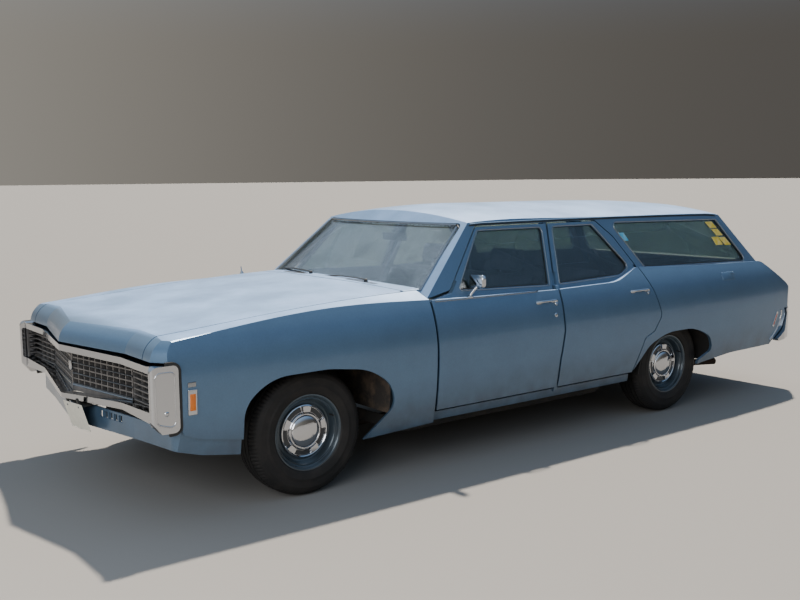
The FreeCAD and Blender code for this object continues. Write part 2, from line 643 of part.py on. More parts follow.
(foot_y, foot_z), (above_y, above_z) = split_rows[0], split_rows[1]
pillar_foot = S["sill_height"] + 40
foot_y -= (foot_z - pillar_foot) * (above_y - foot_y) / (above_z - foot_z)
pillar_line = [(foot_y, pillar_foot)] + split_rows[1:-1] + [(split_rows[-1][0], S["drip_height"] + 40)]
pillar_rows = [(y - 8, z, 0) for y, z in pillar_line] + [(y + leaf_end, z, 0) for y, z in reversed(pillar_line)]
pillar_slot = side_prism(pillar_rows, 560, FAR)
low_pillar = side_volume(S["door_lip"] + gap).cut(side_volume(S["door_wall"] + 26))
low_pillar = low_pillar.common(box(0, FAR, -FAR, FAR, 0, S["glass_base"]))
high_pillar = greenhouse(S["door_lip"] + gap, S["roof_wall"] - 20, S["glass_base"] - 60).cut(
    greenhouse(S["frame_wall"] + 28, S["roof_wall"] + 6, S["glass_base"] - 80))
pillar = biggest(pillar_slot.common(low_pillar.fuse(high_pillar.common(left_box))))

# Tailgate, hinged along its lower edge, under the fixed glass.

gate_zone = plan_prism([
    (-S["gate_half"] + gap, rear_axle_y, 0), (-S["gate_half"] + gap, FAR, 0),
    (S["gate_half"] - gap, FAR, 0), (S["gate_half"] - gap, rear_axle_y, 0)], S["gate_hinge_height"], FAR)
wall_all = rear_body.cut(low_cavity).cut(glass_space)
gate = wall_all.common(gate_zone).common(
    box(-FAR, FAR, S["backlight_base_y"] + 22, FAR, S["gate_hinge_height"], S["belt_rear"] + 4))
add("tailgate", biggest(gate))

# Rockers under the doors; floor pan with its tunnel, the pan under the rear seat and the seat's runners.

inner_half = half - S["door_wall"] - 4
rocker = side_prism([
    (front_axle_y + 560, S["sill_height"] + 6, 0), (front_axle_y + 560, rocker_top, 0),
    (rear_axle_y - 500, rocker_top, 0), (rear_axle_y - 500, S["sill_height"] + 6, 0)], 0, FAR)
rocker_inner = inner_half - 62
rocker = side_volume(26).common(rocker).common(box(rocker_inner, FAR, -FAR, FAR, 0, FAR))
add("rocker_panels", Part.makeCompound(both_sides(rocker)))
add("center_pillars", Part.makeCompound([biggest(piece.cut(NODES["roof"].Shape).cut(NODES["rocker_panels"].Shape))
                                         for piece in both_sides(pillar)]))

floor_low = S["floor_height"] - S["floor_wall"]
pan_low = S["seat_pan_height"] - S["floor_wall"]
floor_half = rocker_inner - seat
floor_pan = side_prism([
    (S["firewall_y"], floor_low, 0), (S["firewall_y"], S["floor_height"], 0),
    (S["seat_pan_y"], S["floor_height"], 0), (S["seat_pan_y"], S["seat_pan_height"], 0),
    (S["load_floor_y"] - seat, S["seat_pan_height"], 0), (S["load_floor_y"] - seat, pan_low, 0),
    (S["seat_pan_y"] + S["floor_wall"], pan_low, 0), (S["seat_pan_y"] + S["floor_wall"], floor_low, 0)],
    -floor_half, floor_half)
tunnel_wall = 12
tunnel = box(-tunnel_half, tunnel_half, S["firewall_y"], S["seat_pan_y"] + 1, floor_low, tunnel_top)
tunnel_space = box(-tunnel_half + tunnel_wall, tunnel_half - tunnel_wall, -FAR, S["seat_pan_y"] + 60, 0,
                   tunnel_top - tunnel_wall)
well_front = rear_axle_y - S["well_radius"] - 8
floor_pan = floor_pan.cut(both_sides(box(640, FAR, well_front, FAR, 0, FAR)))
runners = []
for x in (330, 620):
    runners += both_sides(box(x, x + 40, -380, 40, S["floor_height"], tunnel_top))
floor_pan = floor_pan.fuse([tunnel] + runners).cut(tunnel_space)
add("floor_pan", biggest(floor_pan.removeSplitter()))

# Load floor with its front riser, the wheelhouses and the sill under the tailgate.

load_low = S["load_floor_height"] - S["floor_wall"]
well_inner = 636
inside = side_volume(S["door_wall"] + seat)
riser = box(-640, 640, S["load_floor_y"], S["load_floor_y"] + S["floor_wall"], pan_low, S["load_floor_height"])
load_plate = box(-640, 640, S["load_floor_y"], tail_y - 130, load_low, S["load_floor_height"])
side_plate = box(well_inner, half, rear_axle_y + S["well_radius"] - 20, tail_y - 130, load_low,
                 S["load_floor_height"]).common(inside)
house = Part.makeCylinder(S["well_radius"], half, rear_axle_line + vec(well_inner, 0, 0), vec(1, 0, 0))
hollow_start = rear_axle_line + vec(well_inner + 8, 0, 0)
house = house.cut(Part.makeCylinder(S["well_radius"] - 8, half, hollow_start, vec(1, 0, 0)))
house = house.common(side_volume(S["quarter_skin"] + seat))
house = house.common(box(0, FAR, -FAR, FAR, S["floor_height"] + 30, FAR))
house = house.cut(box(0, well_inner + 8, -FAR, FAR, 0, load_low))
gate_low = S["gate_hinge_height"]
sill_front = tail_y - 150
sill_rear = tail_y - S["gate_wall"] - 20 - seat
tail_panel = box(-S["gate_half"] - 120, S["gate_half"] + 120, sill_front, sill_rear, load_low - 61, gate_low - seat)
tail_panel = tail_panel.cut(box(-FAR, FAR, sill_front + 12, sill_rear - 10, 0, load_low)).common(inside)
gate_rest = box(-S["gate_half"] + 20, S["gate_half"] - 20, sill_rear - 1, sill_rear + 12, load_low, gate_low - seat)
load_floor = load_plate.fuse([riser, tail_panel, gate_rest] + both_sides(side_plate) + both_sides(house))
add("load_floor", biggest(load_floor.removeSplitter()))

# Perimeter frame: each rail is where a band in plan meets a band in side view.

bumper_wall = 66
rail_stations = [
    # y, the rail's middle from the centre line, its underside
    (nose_y + 330, S["rail_front_half"], rail_bottom + 150),
    (front_axle_y + 400, S["rail_front_half"], rail_bottom + 110),
    (S["firewall_y"] - 60, S["rail_mid_half"], rail_bottom),
    (rear_axle_y - 640, S["rail_mid_half"], rail_bottom),
    (rear_axle_y - 360, S["rail_rear_half"], rail_bottom + 140),
    (rear_axle_y - 230, S["rail_rear_half"], rail_bottom + 235),
    (rear_axle_y + 260, S["rail_rear_half"], rail_bottom + 235),
    (rear_axle_y + 520, S["rail_rear_half"], rail_bottom + 210),
    (tail_y - bumper_wall - seat, S["rail_rear_half"], rail_bottom + 210),
]
plan_rows = [(x + S["rail_width"] / 2, y, 0) for y, x, z in rail_stations]
plan_rows += [(x - S["rail_width"] / 2, y, 0) for y, x, z in reversed(rail_stations)]
side_rows = [(y, z + S["rail_height"], 0) for y, x, z in rail_stations]
side_rows += [(y, z, 0) for y, x, z in reversed(rail_stations)]
rail = plan_prism(plan_rows, 0, 1200).common(side_prism(side_rows, 0, FAR))
cross_members = [
    # y, depth, half length, underside
    (nose_y + 360, 60, S["rail_front_half"], rail_bottom + 150),
    (S["door_front_y"] + 130, 120, S["rail_mid_half"], rail_bottom),
    (rear_axle_y - 640, 70, S["rail_mid_half"], rail_bottom),
    (tail_y - 250, 60, S["rail_rear_half"], rail_bottom + 210),
]
chassis = rail.fuse(mirrored(rail))
for y in (S["door_front_y"] + 10, rear_axle_y - 800):
    pad = box(S["rail_mid_half"] - 25, S["rail_mid_half"] + 25, y - 40, y + 40,
              rail_bottom - S["jack_pad"], rail_bottom + 1)
    chassis = chassis.fuse(both_sides(pad))
for y, depth, reach, z in cross_members:
    chassis = chassis.fuse(box(-reach, reach, y, y + depth, z, z + S["rail_height"]))

# Engine and gearbox as one plain block; radiator with its support and the inner fenders.

engine = box(-250, 250, front_axle_y + 70, S["firewall_y"] - 60, 300, 860)
gearbox = box(-95, 95, S["firewall_y"] - 60, S["firewall_y"] + 560, rail_bottom + S["rail_height"] + seat,
              tunnel_top - 15)
add("engine", engine.fuse(gearbox).removeSplitter())
apron_x = 470
apron = box(apron_x, apron_x + 5, front_axle_y - 600, S["firewall_y"], 395, 925)
apron = apron.cut(box(0, FAR, front_axle_y - 150, front_axle_y + 150, 450, 505))
within_skin = side_volume(skin + seat).common(hood_volume(skin + seat))
shelf = box(apron_x, half, front_axle_y - 420, front_axle_y + 470, 775, 780).common(within_skin)
support = box(-half, half, front_axle_y - 605, front_axle_y - 585, 520, 905).common(within_skin)
support = support.cut(box(-380, 380, -FAR, FAR, 560, 880))
radiator = box(-380, 380, front_axle_y - 630, front_axle_y - 570, 560, 880)
splash_y = front_axle_y + 470
splash = box(apron_x, half, splash_y - 5, splash_y, 395, 780).common(within_skin)
inner_pieces = both_sides(apron) + both_sides(shelf) + both_sides(splash) + [radiator]
add("front_inner_panels", biggest(support.fuse(inner_pieces).removeSplitter()))

# Front bumper: a loop round the grille, its plan following the prow.

side_y = nose_y + 104
plate_front = nose_y + 84
bumper_plan = [
    (-half + 10, bumper_rear, 0), (-half + 10, plate_front, 18), (-half + 40, plate_front + 2, 12),
    (-half + 62, side_y, 15), (-S["prow_half"], side_y, 60), (0, nose_y, 60),
    (S["prow_half"], side_y, 60), (half - 62, side_y, 15), (half - 40, plate_front + 2, 12),
    (half - 10, plate_front, 18), (half - 10, bumper_rear, 0), (half - 24, bumper_rear, 0),
    (half - 24, nose_y + 160, 0), (S["prow_half"], side_y + S["bumper_depth"], 60),
    (0, nose_y + S["bumper_depth"], 60), (-S["prow_half"], side_y + S["bumper_depth"], 60),
    (-half + 24, nose_y + 160, 0), (-half + 24, bumper_rear, 0)]
rail_top = S["lip_height"] - S["bumper_gap"]
rail_low = rail_top - S["bumper_rail"]
bar_bottom = [(0, 530, 0), (S["prow_half"], 556, 300), (half - 75, 548, 0)]
bar_top = [(0, 556, 0), (S["prow_half"] - 100, 586, 300), (half - 46, 602, 12)]
loop_half = bar_bottom + [(half - 40, S["bumper_bottom"], 0), (half, S["bumper_bottom"], 0),
                          (half, rail_top + 6, 0), (half - 60, rail_top + 6, 30), (half - 100, rail_top, 0)]
window_half = bar_top + [(half - 46, rail_low, 12)]
end_shape = side_prism([
    (plate_front, rail_top + 6, 38), (bumper_rear, rail_top + 6, 28), (bumper_rear, S["bumper_bottom"], 28),
    (plate_front + 50, S["bumper_bottom"], 15), (plate_front, 566, 10)], -FAR, FAR)


def whole_row(half_rows):
    """Front-view outline from its right half, whose first row lies on the centre line."""
    return half_rows + [(-x, z, r) for x, z, r in reversed(half_rows[1:])]


bumper = plan_prism(bumper_plan, 400, 900).common(front_prism(whole_row(loop_half), -FAR, 0))
bumper = bumper.cut(front_prism(whole_row(window_half), -FAR, nose_y + 200))
bumper = bumper.common(end_shape.fuse(box(-half + 64, half - 64, -FAR, 0, 400, 900)))
add("front_bumper", biggest(bumper))
iron = side_prism([
    (nose_y + 120, 530, 0), (nose_y + 120, 560, 0), (nose_y + 300, 560, 0), (nose_y + 390, 470, 0),
    (nose_y + 390, 400, 0), (nose_y + 330, 400, 0), (nose_y + 330, 445, 0), (nose_y + 280, 530, 0)],
    S["rail_front_half"] - 25, S["rail_front_half"] + 25)
moved_bumper = NODES["front_bumper"].Shape.copy()
moved_bumper.translate(vec(0, seat, 0))
iron = biggest(iron.cut(NODES["front_bumper"].Shape).cut(moved_bumper))
add("chassis_frame", biggest(chassis.fuse(both_sides(iron)).removeSplitter()))

# Grille: an egg-crate panel each side of the prow, the lamp panels and their slatted side walls.

grille_run = S["prow_half"] - 6
grille_bottom = 562
grille_top = rail_low - 2
crate_low = 604
crate_high = 768
bar = S["grille_bar"]
crate_width = (grille_run - 10) / S["grille_columns"]
crate_height = (crate_high - crate_low + bar) / S["grille_rows"]
panel = Part.makeBox(grille_run, S["grille_depth"], grille_top - grille_bottom)
crates = []
slats = []
for level in range(int(S["grille_rows"])):
    z = crate_low + level * crate_height
    for column in range(int(S["grille_columns"])):
        x = 8 + column * crate_width
        crates.append(Part.makeBox(crate_width - bar, 2 * FAR, crate_height - bar, vec(x, -FAR, z - grille_bottom)))
    slats.append(box(0, FAR, nose_y + 126, nose_y + 212, z, z + crate_height - bar))
panel = panel.cut(Part.makeCompound(crates))
grille_y = nose_y + S["bumper_depth"] + 4
panel.rotate(vec(0, 0, 0), vec(0, 0, 1), math.degrees(math.atan2(104, S["prow_half"])))
panel.translate(vec(2, grille_y, grille_bottom))
lamp_y = nose_y + 228
wall_low = 606
wall_high = rail_low - 3
lamp_panel = box(S["prow_half"] - 12, half - 66, lamp_y, lamp_y + 14, grille_bottom, grille_top)
inner_wall = box(S["prow_half"] - 16, S["prow_half"] - 4, grille_y + 108, lamp_y + 14, grille_bottom, grille_top)
outer_wall = box(half - 76, half - 66, nose_y + 114, lamp_y + 14, wall_low, wall_high)
crate_slats = Part.makeCompound([item.common(box(0, FAR, grille_y + 130, lamp_y - 8, 0, FAR)) for item in slats])
inner_wall = inner_wall.cut(crate_slats)
outer_wall = outer_wall.cut(Part.makeCompound(slats))
for x in (S["lamp_inner_x"], S["lamp_outer_x"]):
    hole = Part.makeCylinder(S["lamp_radius"] + seat, 200, vec(x, lamp_y - 100, S["lamp_height"]), vec(0, 1, 0))
    lamp_panel = lamp_panel.cut(hole)
spine = box(-8, 8, grille_y - 2, grille_y + S["grille_depth"] + 6, grille_bottom, grille_top)
stay = box(half - 112, half - 92, lamp_y + 10, front_axle_y - 605 - seat, 576, 602)
grille_shapes = []
for piece in (panel, lamp_panel, inner_wall, outer_wall, stay):
    grille_shapes += both_sides(piece)
grille = spine.fuse(grille_shapes).removeSplitter()
add("grille", biggest(grille))

lamps = []
for x in (S["lamp_inner_x"], S["lamp_outer_x"]):
    bowl = Part.makeCylinder(S["lamp_radius"], 60, vec(x, lamp_y - 4, S["lamp_height"]), vec(0, 1, 0))
    dome = Part.makeSphere(S["lamp_radius"] * 2.2, vec(x, lamp_y - 20 + S["lamp_radius"] * 2.2, S["lamp_height"]))
    face = Part.makeCylinder(S["lamp_radius"] - 8, 40, vec(x, lamp_y - 44, S["lamp_height"]), vec(0, 1, 0))
    lamps += both_sides(bowl.fuse(face.common(dome)).removeSplitter())
add("headlamps", Part.makeCompound(lamps))

# Valance under the front bumper, with a row of slots.

valance_plan = [
    (0, nose_y + 50, 0), (S["prow_half"], nose_y + 160, 60), (half - 46, nose_y + 215, 60),
    (half - 20, nose_y + 330, 0), (half - 58, nose_y + 330, 0), (half - 62, nose_y + 224, 60),
    (S["prow_half"], nose_y + 172, 60), (0, nose_y + 62, 0)]
# It runs on inside the fender's lower edge as far as the wheel opening.
valance_wall = 12
valance_end = front_axle_y - 442
valance_band = plan_prism(valance_plan, 300, 540)
valance_side = side_volume(skin + seat).cut(side_volume(skin + seat + valance_wall))
valance_side = valance_side.common(box(0, FAR, nose_y + 240, valance_end, 300, 540))
valance = valance_band.fuse(mirrored(valance_band)).common(side_volume(skin + seat))
valance = valance.fuse(both_sides(valance_side)).removeSplitter()
valance = valance.common(side_prism([
    (nose_y, 395, 0), (nose_y, 525, 0), (nose_y + 230, 498, 0), (nose_y + 450, 470, 0),
    (valance_end + 10, 452, 0), (valance_end + 10, 320, 0), (nose_y + 355, 356, 200), (nose_y + 210, 400, 100)],
    -FAR, FAR))
for slot in range(5):
    x = 284 + 45 * slot
    valance = valance.cut(both_sides(box(x, x + 30, -FAR, nose_y + 300, 462, 498)))
add("front_valance", biggest(valance.removeSplitter()))

# Rear bumper with its upswept ends, and the tail lamps in them.

rear_band = plan_prism([
    (half - 24, tail_y - 330, 0), (half - 18, tail_y - 160, 60), (half - 70, tail_y, 110),
    (-half + 70, tail_y, 110),
    (-half + 18, tail_y - 160, 60), (-half + 24, tail_y - 330, 0), (-half + 70, tail_y - 330, 0),
    (-half + 70, tail_y - bumper_wall, 60), (half - 70, tail_y - bumper_wall, 60),
    (half - 70, tail_y - 330, 0)], 300, 700)
rear_bumper = rear_band.common(side_prism([
    (tail_y - 278, 380, 12), (tail_y - 110, 400, 60), (tail_y + 20, 400, 0), (tail_y + 20, S["bumper_end_top"], 0),
    (tail_y - 128, S["bumper_end_top"], 10), (tail_y - 98, S["bumper_end_top"] - 36, 30),
    (tail_y - 140, 470, 60)], -FAR, FAR))
rear_bumper = rear_bumper.cut(box(-S["gate_half"] - 30, S["gate_half"] + 30, 0, FAR, gate_low - 16, FAR))
add("rear_bumper", biggest(rear_bumper))
tail_lamp = biggest(rear_body.common(tail_lamp_zone).cut(lamp_floor))
add("tail_lamps", Part.makeCompound(both_sides(tail_lamp)))

# Running gear.

suspension = box(-450, 450, front_axle_y - 70, front_axle_y + 70, 250, 330)
pin_x = S["steer_axis_half"]
pin_radius = 22
arm_thickness = 22
arm_low = axle_height - 132
arm_high = axle_height + 118
for z, near in ((arm_low, 330), (arm_high, 400)):
    arm = plan_prism([(near, front_axle_y - 130, 20), (pin_x, front_axle_y - 34, 0), (pin_x, front_axle_y + 34, 0),
                      (near, front_axle_y + 130, 20)], z, z + arm_thickness)
    pin_line = vec(pin_x, front_axle_y, z)
    arm = arm.fuse(Part.makeCylinder(34, arm_thickness, pin_line))
    arm = arm.cut(Part.makeCylinder(pin_radius + S["bearing_gap"], arm_thickness, pin_line))
    suspension = suspension.fuse(both_sides(arm))
tower = box(395, 455, front_axle_y - 60, front_axle_y + 60, arm_low, arm_high + arm_thickness + 14)
suspension = suspension.fuse(both_sides(tower))
add("front_suspension", biggest(suspension.cut(NODES["chassis_frame"].Shape).removeSplitter()))

spindle_reach = S["track_front"] / 2 + S["disc_offset"] + S["rim_wall"]
pin = Part.makeCylinder(pin_radius, arm_high + arm_thickness - arm_low + 16, vec(pin_x, front_axle_y, arm_low - 8))
upright = Part.makeCylinder(34, arm_high - arm_low - arm_thickness - 2 * seat,
                            vec(pin_x, front_axle_y, arm_low + arm_thickness + seat))
brake = rod(vec(pin_x + 36, front_axle_y, axle_height), vec(pin_x + 88, front_axle_y, axle_height), 132)
spindle = rod(vec(pin_x, front_axle_y, axle_height),
              vec(spindle_reach, front_axle_y, axle_height), S["hub_bore"] - S["bearing_gap"])
knuckle = pin.fuse([upright, brake, spindle]).removeSplitter()
for side, shape in zip(("left", "right"), both_sides(knuckle)):
    add("steering_knuckle_%s" % side, shape)

rear_wheel_x = S["track_rear"] / 2
axle_tube = rod(vec(-640, rear_axle_y, axle_height), vec(640, rear_axle_y, axle_height), 40)
final_drive = Part.makeSphere(125, vec(0, rear_axle_y, axle_height))
final_drive.rotate(vec(0, rear_axle_y, axle_height), vec(0, 0, 1), 45)
shaft = rod(vec(0, S["firewall_y"] + 560 + seat, axle_height), vec(0, rear_axle_y - 100, axle_height), 35)
rear_axle = axle_tube.fuse([final_drive, shaft])
for side in (1, -1):
    drum = rod(vec(side * 636, rear_axle_y, axle_height),
               vec(side * (rear_wheel_x - 70), rear_axle_y, axle_height), 135)
    stub = rod(vec(side * 640, rear_axle_y, axle_height),
               vec(side * (rear_wheel_x + S["disc_offset"] + S["rim_wall"]), rear_axle_y, axle_height),
               S["hub_bore"] - S["bearing_gap"])
    spring = rod(vec(side * S["rail_rear_half"], rear_axle_y, axle_height),
                 vec(side * S["rail_rear_half"], rear_axle_y, rail_bottom + 235), 54)
    arm = side_prism([(rear_axle_y - 570 + seat, 225, 0), (rear_axle_y - 570 + seat, 265, 0), (rear_axle_y, 312, 0),
                      (rear_axle_y, 262, 0)], side * 470 - 25, side * 470 + 25)
    rear_axle = rear_axle.fuse([drum, stub, spring, arm])
add("rear_axle", biggest(rear_axle.removeSplitter()))

add("fuel_tank", box(-330, 330, rear_axle_y + 420, rear_axle_y + 960, 330, load_low - seat))


def pipe(points, radius):
    """Round pipe through corners (x, y, z, bend radius), with tangent arcs."""
    edges = []
    last = vec(*points[0][:3])
    for index in range(1, len(points) - 1):
        corner = vec(*points[index][:3])
        bend = points[index][3]
        back = (vec(*points[index - 1][:3]) - corner).normalize()
        ahead = (vec(*points[index + 1][:3]) - corner).normalize()
        turn = back.getAngle(ahead)
        reach = bend / math.tan(turn / 2)
        enter = corner + back * reach
        leave = corner + ahead * reach
        middle = (back + ahead).normalize()
        crest = corner + middle * (bend / math.sin(turn / 2) - bend)
        edges.append(Part.LineSegment(last, enter).toShape())
        edges.append(Part.Arc(enter, crest, leave).toShape())
        last = leave
    edges.append(Part.LineSegment(last, vec(*points[-1][:3])).toShape())
    spine = Part.Wire(edges)
    start = vec(*points[0][:3])
    ring = Part.Wire(Part.makeCircle(radius, start, vec(*points[1][:3]) - start))
    return spine.makePipeShell([ring], True, False)


exhaust_rows = [
    # x, y, z, bend radius: from the engine's left side to behind the left rear wheel
    (250 + seat, S["firewall_y"] - 190, 420, 0),
    (325, S["firewall_y"] - 190, 420, 45),
    (330, S["firewall_y"] - 120, 186, 60),
    (330, rear_axle_y - 330, 186, 90),
    (395, rear_axle_y - 185, 470, 90),
    (400, rear_axle_y + 180, 480, 120),
    (470, rear_axle_y + 420, 250, 120),
    (590, rear_axle_y + 700, 225, 200),
    (612, rear_axle_y + 960, 208, 0),
]
exhaust = pipe(exhaust_rows, 25)
muffler = front_prism([(230, 162, 50), (430, 162, 50), (430, 272, 50), (230, 272, 50)],
                      S["firewall_y"] + 900, S["firewall_y"] + 1450)
add("exhaust", biggest(exhaust.fuse(muffler).removeSplitter()))

# Inside the cabin.

dash_top = S["belt_front"] - 25
dashboard = side_prism([
    (S["firewall_y"] + skin, 640, 0), (S["firewall_y"] + skin, dash_top - 8, 0),
    (S["firewall_y"] + 250, dash_top, 30), (S["firewall_y"] + 262, dash_top - 95, 20),
    (S["firewall_y"] + 190, dash_top - 280, 40)], -840, 840)
driver_x = 390
wheel_centre = vec(driver_x, S["firewall_y"] + 560, 905)
column_way = vec(0, -math.cos(math.radians(24)), -math.sin(math.radians(24)))
column = rod(wheel_centre + column_way * 62, wheel_centre + column_way * 380, 34)
add("dashboard", biggest(dashboard.fuse(column).removeSplitter()))
rim = Part.makeTorus(198, 13, wheel_centre, column_way)
hub = rod(wheel_centre + column_way * 20, wheel_centre + column_way * (62 - S["bearing_gap"]), 44)
spokes = rod(wheel_centre + vec(-198, 0, 0), wheel_centre + vec(198, 0, 0), 9)
post = rod(wheel_centre - column_way * 8, wheel_centre + column_way * 30, 30)
add("steering_wheel", rim.fuse([hub, spokes, post]).removeSplitter())


def bench(front_y, back_y, bottom, seat_z, top, reach):
    """Bench seat: a rounded cushion and a leaning back."""
    cushion = side_prism([
        (front_y, bottom, 15), (front_y - 20, seat_z, 55), (back_y, seat_z - 25, 20), (back_y, bottom, 10)],
        -reach, reach)
    back = side_prism([
        (back_y - 45, seat_z - 60, 20), (back_y + 25, top, 45), (back_y + 125, top, 45), (back_y + 75, bottom, 20),
        (back_y - 45, bottom, 0)], -reach, reach)
    return cushion.fuse(back).removeSplitter()


add("front_seat", bench(-400, 60, tunnel_top + seat, 650, 1045, 690))
add("rear_seat", bench(480, 795, S["seat_pan_height"] + seat, 645, 1030, 615))

# Door mirror on the left front door.

mirror_y = S["shield_base_y"] + 335
mirror_head = front_prism([
    (half - 132, 1038, 22), (half - 2, 1038, 30), (half - 2, 1120, 30), (half - 132, 1120, 30)],
    mirror_y, mirror_y + 26)
mirror_stem = rod(vec(half - 80, mirror_y - 30, S["belt_front"] - 20), vec(half - 62, mirror_y + 13, 1062), 11)
mirror_foot = rod(vec(half - 80, mirror_y - 30, S["belt_front"] - 30), vec(half - 80, mirror_y - 30, 1004), 22)
mirror = mirror_head.fuse([mirror_stem, mirror_foot]).cut(NODES["front_door_left"].Shape)
add("door_mirror", biggest(mirror.removeSplitter()))


# Wheels and tyres: turned profiles, each bound to the sheet.

def polygon_sketch(body, name, corners):
    """Closed sketch on the body's XZ plane; each corner is a pair of expressions."""
    sketch = body.newObject("Sketcher::SketchObject", name)
    plane = [item for item in body.Origin.OriginFeatures if item.Role == "XZ_Plane"][0]
    sketch.AttachmentSupport = (plane, [""])
    sketch.MapMode = "FlatFace"
    probe = doc.addObject("App::FeaturePython", "probe")
    values = []
    for index, (across, up) in enumerate(corners):
        probe.addProperty("App::PropertyFloat", "a%d" % index)
        probe.addProperty("App::PropertyFloat", "b%d" % index)
        probe.setExpression("a%d" % index, across)
        probe.setExpression("b%d" % index, up)
    doc.recompute()
    for index in range(len(corners)):
        values.append((getattr(probe, "a%d" % index), getattr(probe, "b%d" % index)))
    doc.removeObject(probe.Name)
    count = len(corners)
    for index in range(count):
        a, b = values[index]
        c, d = values[(index + 1) % count]
        sketch.addGeometry(Part.LineSegment(vec(a, b, 0), vec(c, d, 0)), False)
    for index in range(count):
        sketch.addConstraint(Sketcher.Constraint("Coincident", index, 2, (index + 1) % count, 1))
    for index, (across, up) in enumerate(corners):
        for kind, value, expression, axis in (("DistanceX", values[index][0], across, -2),
                                              ("DistanceY", values[index][1], up, -1)):
            if abs(value) < 1e-6:
                sketch.addConstraint(Sketcher.Constraint("PointOnObject", index, 1, axis))
            else:
                number = sketch.addConstraint(Sketcher.Constraint(kind, -1, 1, index, 1, value))
                sketch.setExpression("Constraints[%d]" % number, expression)
    return sketch


def turned(label, corners):
    """PartDesign body turned about its X axis from a closed profile of (along, radius)."""
    body = doc.addObject("PartDesign::Body", label)
    body.Label = label
    sketch = polygon_sketch(body, label + "_profile", corners)
    turn = body.newObject("PartDesign::Revolution", label + "_turn")
    turn.Profile = sketch
    turn.ReferenceAxis = (sketch, ["H_Axis"])
    turn.Angle = 360
    NODES[label] = body
    return body


tyre_profile = [
    # along the axle, radius
    ("-sizes.bead_half", "sizes.tyre_bead_radius"),
    ("-sizes.bead_half", "sizes.tyre_bead_radius + 20"),
    ("-sizes.tyre_width / 2 + 3", "sizes.tyre_bead_radius + 50"),
    ("-sizes.tyre_width / 2", "(sizes.tyre_bead_radius + sizes.tyre_radius) / 2"),
    ("-sizes.tread_half - 16", "sizes.tyre_shoulder_radius - 14"),
    ("-sizes.tread_half", "sizes.tyre_shoulder_radius"),
    ("-sizes.tread_half + 20", "sizes.tyre_radius"),
    ("sizes.tread_half - 20", "sizes.tyre_radius"),
    ("sizes.tread_half", "sizes.tyre_shoulder_radius"),
    ("sizes.tread_half + 16", "sizes.tyre_shoulder_radius - 14"),
    ("sizes.tyre_width / 2", "(sizes.tyre_bead_radius + sizes.tyre_radius) / 2"),
    ("sizes.tyre_width / 2 - 3", "sizes.tyre_bead_radius + 50"),
    ("sizes.bead_half", "sizes.tyre_bead_radius + 20"),
    ("sizes.bead_half", "sizes.tyre_bead_radius"),
]
wheel_profile = [
    ("-sizes.flange_half", "sizes.tyre_bead_radius - sizes.rim_wall"),
    ("-sizes.flange_half", "sizes.flange_radius"),
    ("-sizes.bead_half", "sizes.flange_radius"),
    ("-sizes.bead_half", "sizes.tyre_bead_radius"),
    ("sizes.bead_half", "sizes.tyre_bead_radius"),
    ("sizes.bead_half", "sizes.flange_radius"),
    ("sizes.flange_half", "sizes.flange_radius"),
    ("sizes.flange_half", "sizes.tyre_bead_radius - sizes.rim_wall"),
    ("sizes.disc_offset + 40", "sizes.tyre_bead_radius - sizes.rim_wall * 2"),
    ("sizes.disc_offset + 14", "sizes.tyre_bead_radius - sizes.rim_wall * 3"),
    ("sizes.disc_offset + sizes.rim_wall + 12", "sizes.cap_radius"),
    ("sizes.disc_offset + sizes.cap_depth - 10", "sizes.cap_radius - 16"),
    ("sizes.disc_offset + sizes.cap_depth", "sizes.cap_radius - 60"),
    ("sizes.disc_offset + sizes.cap_depth + 6", "sizes.cap_radius - 100"),
    ("sizes.disc_offset + sizes.cap_depth + 6", "0"),
    ("sizes.disc_offset + sizes.rim_wall + 2", "0"),
    ("sizes.disc_offset + sizes.rim_wall + 2", "sizes.hub_bore"),
    ("sizes.disc_offset - 22", "sizes.hub_bore"),
    ("sizes.disc_offset - 22", "sizes.hub_bore + 30"),
    ("sizes.disc_offset", "sizes.hub_bore + 40"),
    ("sizes.disc_offset", "sizes.tyre_bead_radius - sizes.rim_wall * 3"),
    ("sizes.disc_offset - 10", "sizes.tyre_bead_radius - sizes.rim_wall"),
]
corners_of_car = [
    # name, axle, side
    ("front_left", "front", 1), ("front_right", "front", -1), ("rear_left", "rear", 1), ("rear_right", "rear", -1)]
for corner, axle, side in corners_of_car:
    for label, profile in (("tyre_" + corner, tyre_profile), ("wheel_" + corner, wheel_profile)):
        piece = turned(label, profile)
        sign = "" if side > 0 else "-"
        way = "-" if axle == "front" else ""
        piece.setExpression("Placement.Base.x", "%ssizes.track_%s / 2" % (sign, axle))
        piece.setExpression("Placement.Base.y", "sizes.axle_shift %s sizes.wheelbase / 2" % (way or "+"))
        piece.setExpression("Placement.Base.z", "sizes.tyre_radius")
        piece.Placement.Rotation = FreeCAD.Rotation(vec(0, 0, 1), 0 if side > 0 else 180)

doc.recompute()
for item in doc.Objects:
    if "Invalid" in item.State or "Error" in item.State:
        raise RuntimeError("failed: %s %s" % (item.Label, item.State))
for label, piece in NODES.items():
    if piece.Shape.isNull() or not piece.Shape.isValid():
        raise RuntimeError("no valid shape: " + label)
    print("%-24s %9.4f l  %d solids" % (label, piece.Shape.Volume / 1e6, len(piece.Shape.Solids)))
for label, piece in NODES.items():
    piece.Shape.exportStep("parts/%s.step" % label)
whole = Part.makeCompound([piece.Shape for piece in NODES.values()]).BoundBox
print("box", whole)
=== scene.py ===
import math

import bmesh
import bpy
from mathutils import Matrix, Vector
from mathutils.bvhtree import BVHTree


